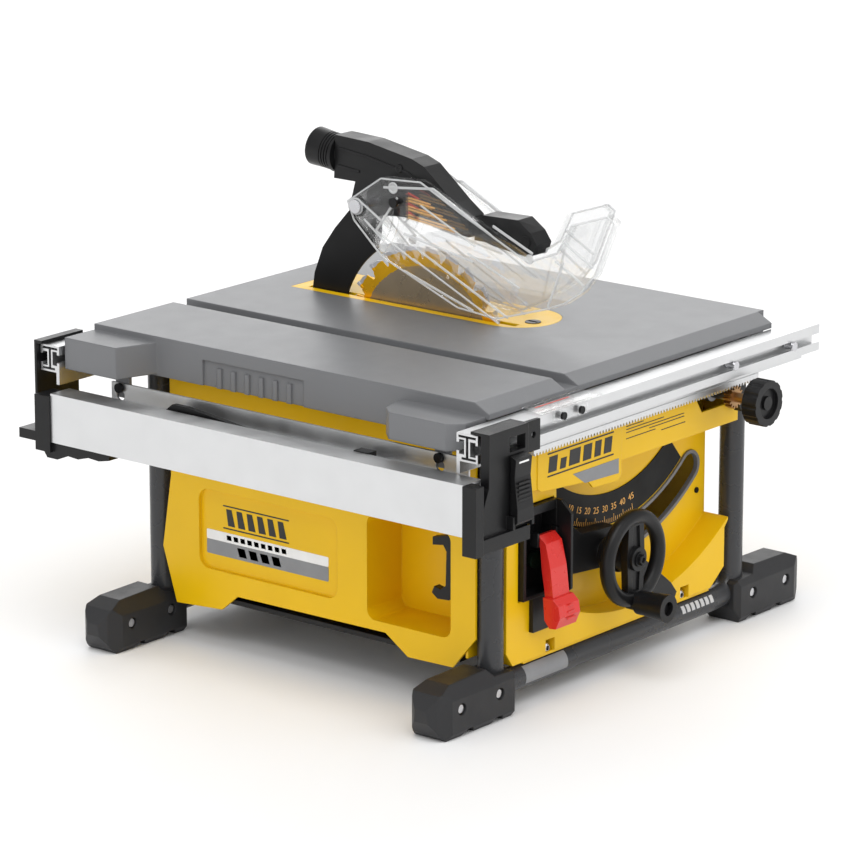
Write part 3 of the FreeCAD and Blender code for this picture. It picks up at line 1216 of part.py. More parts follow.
def fence_rear_bracket():
    edge, rear = -dim.half_width, dim.fence_rear
    end = block((edge, -283), (rear, 268), (205, 262))
    scallop = plate("X", [(268, 214), (268, 232), (rear, 214.5), (172, 214.5), (172, 209), (186, 206),
                          (200, 207), (214, 203), (228, 204), (242, 198), (256, 198)], (-306, -284))
    shelf = block((edge, -226), (262, 290), (214, 224))
    back = block((-286, -226), (287, 290), (214, 309))
    hook = block((-286, -226), (280, 290), (306, 309))
    ears = [block((x, x + 3), (290, 293.9), (234, 246)) for x in (-261.5, -235.5)]
    pin = rod("X", rear_latch_axis, 1, (-261.5, -232.5))
    relief = block((-259, -235), (288.3, 291), (233, 244))
    return fuse(end, scallop, shelf, cut(back, relief), hook, *ears, pin)


def build_narrow_fence():
    """Low auxiliary fence that hangs on two screws by its keyholes."""
    face = (-258, -255.5)
    tall = block(face, (-240, 212), (253, 273.5))
    flange = block((-267, -256), (-240, 212), (253, 255.2))
    keyholes = []
    for y in (200, -206):
        keyholes.append(rod("X", (y, 261), 5.4, (-259, -255)))
        keyholes.append(block((-259, -255), around(y, 3.1), (261, 269)))
        keyholes.append(rod("X", (y, 269), 3.1, (-259, -255)))
        case_screws.append(fuse(rod("X", (y, 269), 2.8, (-258.4, -255)),
                                rod("X", (y, 269), 4.9, (-262, -258.4))))
    node(cut(fuse(tall, flange), *keyholes), "narrow_fence")


def build_push_stick():
    stick = plate("X", [(124, 240), (124, 262), (114, 270), (96, 270), (-10, 258), (-152, 252),
                        (-152, 240)], (-277, -271))
    node(stick, "push_stick")
    clip = cut(block((-281, -269), (-138, -120), (236, 266)),
               block((-277.2, -270.8), (-139, -119), (239.8, 254)))
    wrench = plate("X", [(-177, 165), (-171, 173), (-150, 168), (-150, 160), (-163, 162),
                         (-167, 156), (-166, 122),
                         (-160, 117), (-152, 119), (-149, 112), (-156, 107), (-170, 108),
                         (-177, 114)], (-200, -192))
    node(group([clip, wrench]), "storage_clips")


# ---------------------------------------------------------------------------
# Battery
# ---------------------------------------------------------------------------
def build_battery():
    left, right = dim.battery_left, dim.battery_right
    near, far = dim.battery_front, dim.battery_back
    foot, head = dim.battery_foot, dim.battery_head
    pack = block((left, right), (near, far), (foot, head))
    rib = block((left + 24, right - 8), (near + 7, far - 7), (head, head + 3))
    cap = plate("X", [(near - 1, foot + 4), (near + 2, foot + 0.3), (far - 2, foot + 0.3),
                      (far + 1, foot + 4), (far + 1, head - 2), (far - 2, head + 1), (near + 2, head + 1),
                      (near - 1, head - 2)],
                (right, right + 8))
    well = block((right + 1.5, right + 9), (126, 152), (100, 112))
    slots = [block((left - 1, left + 6), (y - 1, y + 4), (98, head + 1))
             for y in (112, 124, 150, 162)]
    node(cut(fuse(pack, rib, cap), well, *slots), "battery_pack")
    node(block((right + 4.8, right + 9.4), (126.4, 151.6), (100.4, 111.6)), "battery_release")


def build_case_screws():
    node(group(case_screws), "case_screws")


for build in (build_table, build_throat_plate, build_frame, build_feet, build_housing, build_floor_pan,
              build_front_panel, build_panel_screws, build_switch, build_rails, build_pinion,
              build_rail_guides, build_rail_lock, build_cursor, build_tilt_frame, build_trunnions,
              build_bevel_bracket, build_lock_lever, build_lift_drive, build_handwheel, build_carriage,
              build_motor, build_arbor, build_blade, build_knife, build_guard_arm, build_dust_port,
              build_guards, build_fence, build_narrow_fence, build_push_stick, build_battery,
              build_case_screws):
    build()
doc.recompute()


def check(obj):
    for state in obj.State:
        if state in ("Invalid", "Error"):
            raise RuntimeError("%s is %s" % (obj.Label, state))


for obj in doc.Objects:
    check(obj)
os.makedirs("parts", exist_ok=True)
print(len(nodes), "nodes")
for obj in nodes:
    shape = obj.Shape
    if shape.isNull() or not shape.isValid() or not shape.Solids:
        raise RuntimeError("%s has no valid shape" % obj.Label)
    shape.exportStep("parts/%s.step" % obj.Label)
    box = shape.BoundBox
    limits = (box.XMin, box.XMax, box.YMin, box.YMax, box.ZMin, box.ZMax)
    print("%-22s %2d solids %9.0f mm3" % (obj.Label, len(shape.Solids), shape.Volume),
          " x %.1f %.1f  y %.1f %.1f  z %.1f %.1f" % limits)
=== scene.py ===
"""Looks, lights and camera for a compact table saw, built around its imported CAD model."""
import json
import math

import bmesh
import bpy
from mathutils import Matrix, Vector


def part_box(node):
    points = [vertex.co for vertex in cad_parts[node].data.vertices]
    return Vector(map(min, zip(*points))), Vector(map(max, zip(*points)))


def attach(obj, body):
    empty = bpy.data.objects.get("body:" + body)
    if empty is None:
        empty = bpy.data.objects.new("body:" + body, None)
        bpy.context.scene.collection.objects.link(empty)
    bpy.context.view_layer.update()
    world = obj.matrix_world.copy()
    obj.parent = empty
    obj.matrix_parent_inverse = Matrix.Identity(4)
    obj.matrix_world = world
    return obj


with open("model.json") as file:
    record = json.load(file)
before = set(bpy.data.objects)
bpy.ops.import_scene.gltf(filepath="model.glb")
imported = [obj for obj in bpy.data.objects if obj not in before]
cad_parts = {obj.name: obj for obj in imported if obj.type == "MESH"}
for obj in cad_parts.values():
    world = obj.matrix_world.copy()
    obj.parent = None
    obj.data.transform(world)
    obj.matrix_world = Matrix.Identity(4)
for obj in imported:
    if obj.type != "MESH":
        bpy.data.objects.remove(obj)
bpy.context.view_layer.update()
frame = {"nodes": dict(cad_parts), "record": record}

MM = 0.001
scene = bpy.context.scene


def limits(node):
    """Lowest and highest corner of a CAD node, in millimetres."""
    low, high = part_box(node)
    return low / MM, high / MM


# ---------------------------------------------------------------------------
# Materials
# ---------------------------------------------------------------------------
def shade(colour, factor):
    return tuple(min(1.0, part * factor) for part in colour)


class Finish:
    """One procedural material, with short calls for the nodes that it needs."""

    def __init__(self, name):
        self.material = bpy.data.materials.new(name)
        self.material.use_nodes = True
        self.tree = self.material.node_tree
        self.tree.nodes.clear()
        self.shader = self.node("ShaderNodeBsdfPrincipled")
        output = self.node("ShaderNodeOutputMaterial")
        self.join(self.shader.outputs["BSDF"], output.inputs["Surface"])
        self.place = self.node("ShaderNodeTexCoord").outputs["Object"]

    def node(self, kind, **settings):
        made = self.tree.nodes.new(kind)
        for key, value in settings.items():
            setattr(made, key, value)
        return made

    def join(self, output, into):
        self.tree.links.new(output, into)

    def feed(self, socket, value):
        """Links a socket, or sets it when the value is a plain number or colour."""
        if isinstance(value, bpy.types.NodeSocket):
            self.join(value, socket)
        elif isinstance(value, tuple) and len(value) == 3 and socket.type == "RGBA":
            socket.default_value = (*value, 1)
        else:
            socket.default_value = value

    def noise(self, scale, detail=3, stretch=(1, 1, 1)):
        """Cloudy values around 0.5. The scale is in features per metre."""
        spread = self.node("ShaderNodeMapping")
        spread.inputs["Scale"].default_value = stretch
        self.join(self.place, spread.inputs["Vector"])
        made = self.node("ShaderNodeTexNoise")
        made.inputs["Scale"].default_value = scale
        made.inputs["Detail"].default_value = detail
        self.join(spread.outputs["Vector"], made.inputs["Vector"])
        return made.outputs["Fac"]

    def remap(self, value, start, end, low, high):
        made = self.node("ShaderNodeMapRange")
        self.feed(made.inputs["Value"], value)
        for socket, number in zip(("From Min", "From Max", "To Min", "To Max"), (start, end, low, high)):
            made.inputs[socket].default_value = number
        return made.outputs["Result"]

    def sum(self, operation, first, second=0.0):
        made = self.node("ShaderNodeMath", operation=operation)
        self.feed(made.inputs[0], first)
        self.feed(made.inputs[1], second)
        return made.outputs["Value"]

    def mix(self, factor, first, second):
        made = self.node("ShaderNodeMix", data_type="RGBA")
        self.feed(made.inputs[0], factor)
        self.feed(made.inputs[6], first)
        self.feed(made.inputs[7], second)
        return made.outputs[2]

    def across(self, axis):
        """The position along one axis, in metres."""
        made = self.node("ShaderNodeSeparateXYZ")
        self.join(self.place, made.inputs["Vector"])
        return made.outputs[axis]

    def distance(self, first, second):
        """Distance from a line along an axis, from (axis, centre) pairs of the other two axes."""
        squares = []
        for axis, centre in (first, second):
            offset = self.sum("SUBTRACT", self.across(axis), centre)
            squares.append(self.sum("MULTIPLY", offset, offset))
        return self.sum("SQRT", self.sum("ADD", *squares))

    def clouded(self, colour, amount, scale=14):
        """A colour that drifts a little lighter and darker over the part."""
        cloud = self.remap(self.noise(scale), 0.3, 0.7, 0, 1)
        return self.mix(cloud, shade(colour, 1 - amount), shade(colour, 1 + amount))

    def surface(self, colour, rough, grain=(900, 0.04), spread=0.06, soft=0.0007, metallic=0.0):
        """Base colour, uneven gloss, fine grain, and edges rounded by the soft radius in metres."""
        sockets = self.shader.inputs
        self.feed(sockets["Base Color"], colour)
        sockets["Metallic"].default_value = metallic
        uneven = self.remap(self.noise(38, 4), 0.3, 0.7, rough - spread, rough + spread)
        self.feed(sockets["Roughness"], uneven)
        edge = self.node("ShaderNodeBevel", samples=4)
        edge.inputs["Radius"].default_value = soft
        bump = self.node("ShaderNodeBump")
        scale, strength = grain[:2]
        stretch = grain[2] if len(grain) > 2 else (1, 1, 1)
        bump.inputs["Strength"].default_value = strength
        bump.inputs["Distance"].default_value = 0.001
        self.join(self.noise(scale, 2, stretch), bump.inputs["Height"])
        self.join(edge.outputs["Normal"], bump.inputs["Normal"])
        self.join(bump.outputs["Normal"], sockets["Normal"])
        return self


YELLOW = (0.82, 0.495, 0.002)
BLACK = (0.007, 0.007, 0.0075)
CHARCOAL = (0.022, 0.022, 0.0235)
TABLE_GREY = (0.155, 0.158, 0.165)
ORANGE_PRINT = (0.93, 0.50, 0.12)


def plastic(name, colour, rough, tone=0.04, gloss=0.5, **look):
    made = Finish(name)
    made.surface(made.clouded(colour, tone), rough, **look)
    made.shader.inputs["Specular IOR Level"].default_value = gloss
    return made


def metal(name, colour, rough, tone=0.04, **look):
    made = Finish(name)
    return made.surface(made.clouded(colour, tone, 30), rough, metallic=1.0, **look)


def blade_finish():
    """Silver teeth, a yellow painted ring and a bronze-grey disc."""
    low, high = limits("saw_blade")
    centre = (low + high) / 2 * MM
    radius = (high.y - low.y) / 2 * MM
    made = Finish("blade")
    reach = made.distance(("Y", centre.y), ("Z", centre.z))
    rub = made.remap(made.noise(260, 3), 0.35, 0.65, -0.0006, 0.0006)
    away = made.sum("ADD", reach, rub)
    ring = made.sum("GREATER_THAN", away, radius * 0.797)
    teeth = made.sum("GREATER_THAN", away, radius * 0.948)
    turning = made.remap(made.sum("SINE", made.sum("MULTIPLY", reach, 5200)), -1, 1, 0.86, 1.06)
    bronze_grey = (0.36, 0.29, 0.20)
    disc = made.mix(turning, shade(bronze_grey, 0.5), bronze_grey)
    painted = made.mix(ring, disc, (0.85, 0.46, 0.01))
    made.surface(made.mix(teeth, painted, (0.62, 0.62, 0.66)), 0.30, soft=0.0003, metallic=0.75)
    return made


def geared_shaft_finish():
    """Steel rod with bronze-coloured pinions at both ends."""
    low, high = limits("pinion_shaft")
    reach = min(abs(low.y), abs(high.y)) * MM
    made = Finish("geared_shaft")
    away = made.sum("ABSOLUTE", made.across("Y"))
    gear = made.sum("GREATER_THAN", away, reach - 0.030)
    colour = made.mix(gear, (0.30, 0.30, 0.31), (0.42, 0.25, 0.12))
    made.surface(colour, 0.34, metallic=1.0, soft=0.0003)
    return made


def clear_finish():
    """Clear moulded plastic. Part of the light goes straight through, so it casts a pale shadow."""
    made = Finish("clear_plastic")
    made.surface((0.90, 0.91, 0.915), 0.004, grain=(120, 0.004), spread=0.003, soft=0.0003)
    made.shader.inputs["Transmission Weight"].default_value = 1.0
    made.shader.inputs["IOR"].default_value = 1.46
    made.shader.inputs["Alpha"].default_value = 0.24
    return made


def rib_finish():
    """The same clear plastic where it is thick, made paler and less clear: a painted highlight for the
    light that ribs and bosses catch.
    """
    made = Finish("clear_ribs_painted_highlight")
    made.surface(made.clouded((0.80, 0.81, 0.815), 0.03, 60), 0.08, grain=(160, 0.02), spread=0.03,
                 soft=0.0006)
    made.shader.inputs["Alpha"].default_value = 0.5
    return made


def gloss_red():
    made = plastic("red_plastic", (0.66, 0.022, 0.016), 0.30, gloss=0.4, grain=(700, 0.02))
    made.shader.inputs["Coat Weight"].default_value = 0.25
    return made


def printed(name, colour, rough=0.45):
    made = Finish(name)
    return made.surface(made.clouded(colour, 0.05, 60), rough, grain=(1500, 0.02), soft=0.0001)


finishes = {
    "yellow_plastic": plastic("yellow_plastic", YELLOW, 0.34, tone=0.03, gloss=0.32, grain=(1400, 0.05),
                              soft=0.0011),
    "table_metal": plastic("table_metal", TABLE_GREY, 0.40, tone=0.02, spread=0.02, grain=(1800, 0.08),
                           soft=0.0022),
    "throat_paint": plastic("throat_paint", YELLOW, 0.40, tone=0.03, gloss=0.35, grain=(1600, 0.05)),
    "black_plastic": plastic("black_plastic", BLACK, 0.36, tone=0.12, gloss=0.28, grain=(1600, 0.10)),
    "tube_paint": plastic("tube_paint", (0.038, 0.039, 0.042), 0.28, tone=0.04, gloss=0.4,
                          grain=(1200, 0.03), soft=0.0002),
    "foot_rubber": plastic("foot_rubber", CHARCOAL, 0.48, tone=0.08, gloss=0.35, grain=(1300, 0.16),
                           soft=0.0018),
    "rail_aluminium": metal("rail_aluminium", (0.70, 0.705, 0.71), 0.38, tone=0.015,
                            grain=(500, 0.05, (0.03, 1, 1)), soft=0.0005),
    "cast_aluminium": metal("cast_aluminium", (0.42, 0.42, 0.43), 0.46, grain=(700, 0.25)),
    "steel": metal("steel", (0.60, 0.60, 0.62), 0.27, grain=(900, 0.05), soft=0.0003),
    "dark_steel": plastic("dark_steel", (0.0045, 0.0045, 0.005), 0.34, tone=0.1, gloss=0.22,
                          grain=(1200, 0.05), soft=0.0004),
    "bronze": metal("bronze", (0.50, 0.30, 0.12), 0.34),
    "red_plastic": gloss_red(),
    "green_plastic": plastic("green_plastic", (0.004, 0.012, 0.006), 0.40, gloss=0.3),
    "grey_plastic": plastic("grey_plastic", (0.16, 0.16, 0.17), 0.42),
    "scale_paint": plastic("scale_paint", (0.006, 0.006, 0.006), 0.5, gloss=0.2),
    "clear": clear_finish(),
}
own_finishes = {
    "saw_blade": blade_finish(),
    "pinion_shaft": geared_shaft_finish(),
    "electronics": finishes["black_plastic"],
    "floor_pan": finishes["black_plastic"],
    "case_screws": finishes["dark_steel"],
}
for row in frame["record"]["subparts"]:
    part = frame["nodes"][row["node"]]
    chosen = own_finishes.get(row["node"], finishes[row["material_slot"]])
    for holder in part.material_slots:
        holder.material = chosen.material

# Pale, half-opaque colour painted on the guard's ribs and bosses as a painted highlight.
rib_painted_highlight = rib_finish()
print_black = printed("print_black", (0.010, 0.010, 0.010))
print_white = printed("print_white", (0.86, 0.86, 0.85))
print_grey = printed("print_grey", (0.24, 0.245, 0.255))
print_pale = printed("print_pale", (0.52, 0.52, 0.52))
print_orange = printed("print_orange", ORANGE_PRINT)
print_red = printed("print_red", (0.78, 0.06, 0.03))


# ---------------------------------------------------------------------------
# Pieces
# ---------------------------------------------------------------------------
PLACES = {
    "X": lambda along, u, v: (along, u, v),
    "Y": lambda along, u, v: (u, along, v),
    "Z": lambda along, u, v: (u, v, along),
}
SIDES = 24


class Mould:
    """Gathers the solids of one piece. Its sizes are millimetres in the CAD frame."""

    def __init__(self):
        self.mesh = bmesh.new()

    def skin(self, rings):
        """Closes a row of equal rings of points into one solid."""
        rows = [[self.mesh.verts.new(Vector(point) * MM) for point in ring] for ring in rings]
        count = len(rows[0])
        for near, far in zip(rows, rows[1:]):
            for first in range(count):
                second = (first + 1) % count
                self.mesh.faces.new((near[first], near[second], far[second], far[first]))
        self.mesh.faces.new(rows[0])
        self.mesh.faces.new(rows[-1])
        return self

    def prism(self, axis, outline, span):
        """An outline pushed straight along an axis."""
        return self.skin([[PLACES[axis](along, u, v) for u, v in outline] for along in span])

    def bar(self, axis, start, end, width, span):
        """A straight flat bar between two points of the plane across the axis."""
        run = Vector(end) - Vector(start)
        side = Vector((-run.y, run.x)).normalized() * width / 2
        first, last = Vector(start), Vector(end)
        return self.prism(axis, [first + side, last + side, last - side, first - side], span)

    def block(self, x, y, z):
        return self.prism("Z", [(x[0], y[0]), (x[1], y[0]), (x[1], y[1]), (x[0], y[1])], z)

    def turned(self, origin, direction, profile):
        """A profile of (distance along, radius, corners) turned about an axis. 6 corners make a hexagon."""
        forward = Vector(direction).normalized()
        right = forward.orthogonal().normalized()
        up = forward.cross(right)
        rings = []
        for along, radius, corners in profile:
            ring = []
            for number in range(SIDES):
                angle = 2 * math.pi * number / SIDES
                reach = radius
                if corners:
                    half = math.pi / corners
                    reach = radius * math.cos(half) / math.cos((angle + half) % (2 * half) - half)
                spoke = right * math.cos(angle) + up * math.sin(angle)
                ring.append(Vector(origin) + forward * along + spoke * reach)
            rings.append(ring)
        return self.skin(rings)

    def lettering(self, text, size, matrix):
        """Raised figures. The matrix is in millimetres and takes them from the XY plane."""
        curve = bpy.data.curves.new("figures", "FONT")
        curve.body = text
        curve.size = size
        curve.extrude = 0.12
        curve.align_x = "CENTER"
        curve.align_y = "CENTER"
        holder = bpy.data.objects.new("figures", curve)
        scene.collection.objects.link(holder)
        view = holder.evaluated_get(bpy.context.evaluated_depsgraph_get())
        flat = bpy.data.meshes.new_from_object(view)
        bpy.data.objects.remove(holder)
        flat.transform(Matrix.Scale(MM, 4) @ matrix)
        self.mesh.from_mesh(flat)
        bpy.data.meshes.remove(flat)
        return self


def piece(name, mould, body, finish, soft=0.25):
    """Makes the object, rounds its edges by the soft width in millimetres, and lets it ride."""
    bmesh.ops.remove_doubles(mould.mesh, verts=mould.mesh.verts, dist=1e-7)
    bmesh.ops.recalc_face_normals(mould.mesh, faces=mould.mesh.faces)
    mesh = bpy.data.meshes.new(name)
    mould.mesh.to_mesh(mesh)
    mould.mesh.free()
    mesh.materials.append(finish.material)
    mesh.shade_smooth()
    mesh.set_sharp_from_angle(angle=math.radians(35))
    made = bpy.data.objects.new(name, mesh)
    scene.collection.objects.link(made)
    if soft:
        bevel = made.modifiers.new("soft edges", "BEVEL")
        bevel.width = soft * MM
        bevel.segments = 2
        bevel.limit_method = "ANGLE"
        bevel.angle_limit = math.radians(35)
    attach(made, body)
    return made


def soften(node, width):
    """Rounds the edges of a moulded or cast CAD node by a width in millimetres."""
    part = frame["nodes"][node]
    weld = part.modifiers.new("weld", "WELD")
    weld.merge_threshold = 0.02 * MM
    bevel = part.modifiers.new("soft edges", "BEVEL")
    bevel.width = width * MM
    bevel.segments = 3
    bevel.limit_method = "ANGLE"
    bevel.angle_limit = math.radians(35)
    bevel.harden_normals = True


def rounded(low, high, radius, steps=4):
    """A rectangle's outline with rounded corners."""
    corners = ((high[0], high[1], 0), (low[0], high[1], 90), (low[0], low[1], 180), (high[0], low[1], 270))
    points = []
    for u, v, start in corners:
        centre_u = u - radius if u == high[0] else u + radius
        centre_v = v - radius if v == high[1] else v + radius
        for number in range(steps + 1):
            angle = math.radians(start + 90 * number / steps)
            points.append((centre_u + radius * math.cos(angle), centre_v + radius * math.sin(angle)))
    return points


def side_label():
    """Label in the housing's left recess: a saw-tooth mark over a white and a grey band."""
    face = limits("housing_shell")[0].x + 4
    front = (face - 0.35, face)
    band = Mould().prism("X", rounded((-21, 113), (138, 123), 1.5), front)
    piece("side_label_white", band, "frame", print_white, 0)
    band = Mould().prism("X", rounded((-21, 98), (138, 113), 1.5), front)
    piece("side_label_grey", band, "frame", print_grey, 0)
    mark = Mould()
    for height in (127.5, 150.5):
        mark.bar("X", (30, height), (116, height), 1.3, front)
    for number in range(6):
        left = 33 + number * 13.5
        mark.prism("X", [(left, 130.5), (left + 9, 130.5), (left + 11.5, 147.5), (left + 4.5, 147.5)],
                   front)
    for number in range(9):
        left = 33 + number * 9
        mark.prism("X", [(left, 115.5), (left + 6, 115.5), (left + 6.8, 120.5), (left + 0.8, 120.5)], front)
    piece("side_label_black", mark, "frame", print_black, 0)
    mark = Mould()
    for number in range(4):
        left = 40 + number * 15
        mark.prism("X", [(left, 101), (left + 10, 101), (left + 13, 110), (left + 3, 110)], front)
    piece("side_label_pale", mark, "frame", print_pale, 0)


def front_badge():
    """Plain slanted bars between two lines, a grey chevron, and a rating plate's thin lines."""
    face = limits("front_panel")[0].y
    front = (face - 0.3, face)
    mark = Mould()
    for height in (225, 247.4):
        mark.bar("Y", (-125, height), (-20, height), 1.4, front)
    widths = (13, 9, 17, 13, 10, 12)
    left = -124
    for number, width in enumerate(widths):
        high = 244 if number != 1 else 239
        mark.prism("Y", [(left, 228.5), (left + width, 228.5), (left + width + 2, high), (left + 2, high)],
                   front)
        left += width + 5.2
    piece("badge_bars", mark, "frame", print_black, 0)
    chevron = Mould().prism("Y", [(-85, 219), (-65.6, 206), (-11.3, 204), (-11.5, 219)], front)
    piece("badge_chevron", chevron, "frame", print_grey, 0)
    band = (face + 0.95, face + 1.25)
    lines = Mould()
    lengths = ((2, 24), (2, 8), (2, 46), (2, 30), (2, 64), (2, 98), (40, 98), (2, 50), (60, 100))
    for number, (start, end) in enumerate(lengths):
        height = 257 - number * 3.1
        thick = 1.9 if number == 0 else 0.8
        lines.bar("Y", (start, height), (end, height), thick, band)
    piece("rating_lines", lines, "frame", print_black, 0)


def scale_figures():
    """Degree lines and numbers printed on the bevel scale."""
    pivot_x, pivot_z = 26, 320
    zero, radius, outer = -33.3, 166, 181.5
    face = limits("bevel_scale")[0].y
    marks = Mould()
    for degree in range(0, 46):
        angle = math.radians(zero + degree)
        way = Vector((math.sin(angle), -math.cos(angle)))
        start = Vector((pivot_x, pivot_z)) + way * outer
        length = 8 if degree % 5 == 0 else 4.5
        marks.bar("Y", start, start - way * length, 0.6, (face - 0.2, face + 0.05))
    for degree in range(0, 50, 5):
        angle = math.radians(zero + degree)
        place = Vector((pivot_x + radius * math.sin(angle), face - 0.1, pivot_z - radius * math.cos(angle)))
        upright = Matrix.Rotation(-angle, 4, "Y") @ Matrix.Rotation(math.pi / 2, 4, "X")
        marks.lettering(str(degree), 9.5, Matrix.Translation(place) @ upright)
    piece("scale_figures", marks, "frame", print_orange, 0)


def guard_place(side, y):
    """Where a point of the guard's outline lies. The right half's front wing is set further back."""
    wing_back = 34 * min(1, max(0, (-60 - y) / 90))
    return y + wing_back if side > 0 else y


def guard_ribs():
    """Raised ribs and round bosses moulded on the outside of both guard halves."""
    ribs = (((51.6, 400), (-37.5, 384), 2.4), ((34.8, 387), (-81.6, 333.5), 2.4),
            ((51.7, 362), (-37.7, 334), 2.4), ((40, 376), (-70, 326), 1.8), ((88, 398), (34, 372), 1.8),
            ((14, 451), (-60, 414), 2.4), ((30, 432), (-40, 400), 1.8), ((-30, 392), (-96, 366), 1.8),
            ((78, 444), (14, 451), 2.6),
            ((60, 436), (88, 398), 2.6), ((108, 425), (72, 404), 2.2), ((104, 408), (74, 386), 2.2),
            ((-62, 424), (-112, 403), 2.6), ((-150, 420), (-186, 400), 2.6),
            ((-140, 400), (-176, 380), 2.6), ((-131, 352), (-150, 400), 2.6))
    outline = [Vector(corner) for corner in (
        (127, 424), (82, 454), (30, 457), (-23, 432), (-106, 395), (-141, 409), (-159, 439), (-203, 454),
        (-213, 448), (-190, 393), (-173, 372), (-152, 357.5), (-131, 349), (-67, 329), (-17, 333),
        (81, 371), (118, 404))]
    inset = 1.5
    rim = []
    for before, corner, after in zip(outline[-1:] + outline, outline, outline[1:] + outline[:1]):
        first, second = (corner - before).normalized(), (after - corner).normalized()
        inward = Vector((-first.y - second.y, first.x + second.x)).normalized()
        rim.append(corner + inward * inset / max(0.4, inward.dot(Vector((-first.y, first.x)))))
    ribs += tuple((start, end, 1.8) for start, end in zip(rim, rim[1:] + rim[:1]))
    for side, node in ((-1, "guard_left"), (1, "guard_right")):
        low, high = limits(node)
        outside = low.x if side < 0 else high.x
        span = sorted((outside - side * 0.4, outside + side * 1.1))
        mould = Mould()
        for start, end, width in ribs:
            start, end = ((guard_place(side, y), z) for y, z in (start, end))
            mould.bar("X", start, end, width, span)
        for (y, z), radius in (((114, 419.6), 9), ((65.6, 445), 6), ((78.5, 382), 5), ((-108, 397), 5)):
            mould.turned((outside - side * 0.4, guard_place(side, y), z), (side, 0, 0),
                         [(0, radius, 0), (1.6, radius, 0), (1.6, radius - 2, 0), (0.8, radius - 2, 0)])
        # The ribs and bosses take the pale painted-highlight colour.
        piece(f"{node}_ribs", mould, node.replace("guard_", "") + "_guard", rib_painted_highlight, 0.5)


def guard_label():
    """Dark plate on the arm with plain orange and red bars."""
    face = limits("guard_handle")[0].x
    plate = Mould().prism("X", [(57, 443), (36, 445), (-14, 424), (-14, 409), (57, 416)],
                          (face - 0.5, face))
    piece("arm_plate", plate, "carriage", print_black, 0)
    bars = Mould()
    heads = Mould()
    drop = 0.1
    for number in range(9):
        height = 440 - number * 2.9
        reach = 30 - number * 5.2
        target = heads if number in (0, 3, 6) else bars
        start = (54, height - (2 if number else 0))
        end = (max(-10, reach if target is bars else 40), height - 2 - drop * (54 - reach))
        target.bar("X", start, end, 1.7, (face - 0.75, face - 0.45))
    piece("arm_plate_bars", bars, "carriage", print_orange, 0)
    piece("arm_plate_heads", heads, "carriage", print_red, 0)


def paddle_ridges():
    """Nested ridges across the stop paddle's pad."""
    low, high = limits("stop_paddle")
    ridges = Mould()
    for number in range(3):
        height = low.z + 9 + number * 6.5
        inset = 8 + number * 1.5
        ridges.block((low.x + inset + 3, high.x - inset), (low.y - 0.4, low.y + 0.6),
                     (height, height + 1.8))
    piece("paddle_ridges", ridges, "paddle", finishes["red_plastic"], 0.4)


def wheel_nut():
    """Nut at the middle of the handwheel."""
    low, high = limits("handwheel")
    centre = ((low.x + high.x) / 2, 121.8)
    nut = Mould()
    nut.turned((centre[0], -258, centre[1]), (0, -1, 0),
               [(0, 7.5, 0), (1.5, 7.5, 0), (1.5, 5.6, 6), (4.2, 5.6, 6), (4.8, 5.0, 6), (4.8, 2.6, 0),
                (3.4, 2.6, 0)])
    piece("wheel_nut", nut, "wheel", finishes["dark_steel"], 0.2)


def ground_bolts():
    """Round socket bolts that hold the panel to the ground bar."""
    radius = 6.2
    for x in (-108, 113):
        bolt = Mould()
        bolt.turned((x, -206, 47), (0, -1, 0),
                    [(0, radius, 0), (9, radius, 0), (11, radius - 0.7, 0), (12.6, radius - 2.2, 0),
                     (13, 2.8, 0), (13, 2.6, 6), (10.5, 2.6, 6)])
        piece("ground_bolt_left" if x < 0 else "ground_bolt_right", bolt, "frame",
              finishes["steel"], 0.2)


def bar_labels():
    """A grey patch and a row of plain bars, wrapped round the front ground bar."""
    low, high = limits("front_frame_tube")
    radius = (high.y - low.y) / 2
    centre_y, centre_z = low.y + radius, low.z + radius

    def patch(mould, start, end, first, last, lift):
        outline = []
        angles = [math.radians(first + (last - first) * number / 12) for number in range(13)]
        for reach, row in ((radius + lift, angles), (radius - 0.2, angles[::-1])):
            for angle in row:
                outline.append((centre_y - reach * math.cos(angle), centre_z + reach * math.sin(angle)))
        return mould.prism("X", outline, (start, end))

    piece("bar_label_pale", patch(Mould(), -150, -84, -25, 60, 0.2), "frame", print_grey, 0)
    marks = Mould()
    for number in range(7):
        left = 106 + number * 8
        patch(marks, left, left + 5.4, 8, 44, 0.25)
    piece("bar_label_marks", marks, "frame", print_pale, 0)


def rail_marks():
    """Printed strip below the clear cursor and a red hair line on top of it."""
    low, high = limits("scale_cursor")
    rail_top = limits("front_rail")[1].z
    strip = Mould().block((low.x + 4, high.x - 4), (low.y + 5, low.y + 15),
                          (rail_top - 0.1, rail_top + 0.25))
    piece("rail_strip", strip, "rails", print_white, 0)
    ticks = Mould()
    for number in range(33):
        x = low.x + 8 + number * 2.3
        length = 4.5 if number % 5 == 0 else 2.6
        ticks.block((x, x + 0.5), (low.y + 6, low.y + 6 + length), (rail_top + 0.2, rail_top + 0.45))
    piece("rail_ticks", ticks, "rails", print_black, 0)
    line = Mould().block((low.x + 8, high.x - 30), (low.y + 16, low.y + 17.4), (high.z, high.z + 0.25))
    piece("cursor_line", line, "frame", print_red, 0)


def latch_mark():
    """White mark on the fence latch."""
    low, high = limits("fence_front_latch")
    mark = Mould().block((low.x + 5, high.x - 5), (low.y + 1.6, low.y + 2.6),
                         (high.z - 7, high.z - 5.4))
    piece("latch_mark", mark, "front_latch", print_white, 0)


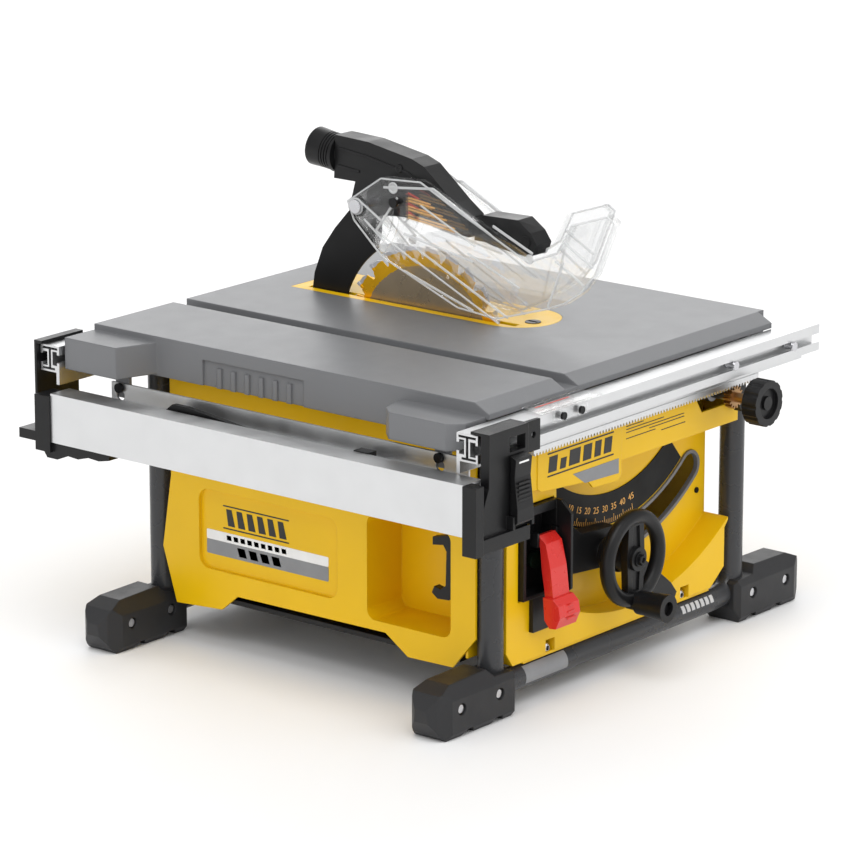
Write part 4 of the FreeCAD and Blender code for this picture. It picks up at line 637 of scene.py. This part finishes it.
def arm_ridges():
    """Raised ridges along the guard arm's sides and a round screw head."""
    low, high = limits("guard_handle")
    middle = (low.x + high.x) / 2
    arm_half = 13
    for side, name in ((-1, "left"), (1, "right")):
        face = middle + side * arm_half
        span = sorted((face - side * 0.3, face + side * 1.0))
        ridges = Mould()
        for start, end in (((146, 474), (108, 470)), ((108, 470), (54, 460)), ((54, 460), (26, 444)),
                           ((146, 456), (118, 453))):
            ridges.bar("X", start, end, 2.4, span)
        ridges.turned((face - side * 0.3, 66, 463), (side, 0, 0),
                      [(0, 4.6, 0), (1.3, 4.6, 0), (1.8, 4.0, 0), (1.8, 2.2, 6), (1.0, 2.2, 6)])
        piece(f"arm_ridges_{name}", ridges, "carriage", finishes["black_plastic"], 0.3)


for node, width in (("table_top", 2.2), ("housing_shell", 1.5), ("front_panel", 1.2), ("feet", 2.2),
                    ("guard_arm", 1.2), ("fence_front_bracket", 0.8), ("guard_handle", 1.5),
                    ("stop_paddle", 1.0), ("switch_box", 0.8)):
    soften(node, width)
side_label()
front_badge()
scale_figures()
guard_ribs()
guard_label()
paddle_ridges()
wheel_nut()
ground_bolts()
bar_labels()
rail_marks()
latch_mark()
arm_ridges()


# ---------------------------------------------------------------------------
# Floor, light and camera
# ---------------------------------------------------------------------------
def make_floor():
    half = 20
    mesh = bpy.data.meshes.new("floor")
    mesh.from_pydata([(-half, -half, 0), (half, -half, 0), (half, half, 0), (-half, half, 0)], [],
                     [(0, 1, 2, 3)])
    pale = Finish("floor")
    pale.surface(pale.clouded((0.90, 0.90, 0.90), 0.01, 2), 0.7, grain=(200, 0.01), soft=0.0001)
    mesh.materials.append(pale.material)
    floor = bpy.data.objects.new("floor", mesh)
    scene.collection.objects.link(floor)


def make_light():
    world = bpy.data.worlds.new("studio")
    world.use_nodes = True
    background = world.node_tree.nodes["Background"]
    background.inputs["Color"].default_value = (1, 1, 1, 1)
    background.inputs["Strength"].default_value = 0.60
    scene.world = world
    suns = (("key", (-0.45, -0.30, 1.0), 1.6, 45), ("front", (0.2, -1.0, 0.5), 0.55, 50),
            ("side", (-1.0, -0.1, 0.35), 0.45, 50), ("sheen", (0.95, 0.55, 0.42), 0.8, 50))
    for name, toward, strength, angle in suns:
        light = bpy.data.lights.new(name, "SUN")
        light.energy = strength
        light.angle = math.radians(angle)
        lamp = bpy.data.objects.new(name, light)
        lamp.rotation_mode = "QUATERNION"
        lamp.rotation_quaternion = Vector(toward).to_track_quat("Z", "Y")
        scene.collection.objects.link(lamp)


def make_camera():
    azimuth, elevation = math.radians(-50.873), math.radians(15.2455)
    distance = 4500
    target = Vector((-4.4, 16, 206.6))
    back = Vector((math.sin(azimuth) * math.cos(elevation), -math.cos(azimuth) * math.cos(elevation),
                   math.sin(elevation)))
    lens = bpy.data.cameras.new("camera")
    lens.sensor_width = 36
    lens.lens = 188.03
    lens.clip_end = 100
    camera = bpy.data.objects.new("camera", lens)
    camera.location = (target + back * distance) * MM
    camera.rotation_mode = "QUATERNION"
    camera.rotation_quaternion = (-back).to_track_quat("-Z", "Y")
    scene.collection.objects.link(camera)
    scene.camera = camera


make_floor()
make_light()
make_camera()
scene.view_settings.view_transform = "Standard"
scene.view_settings.look = "None"
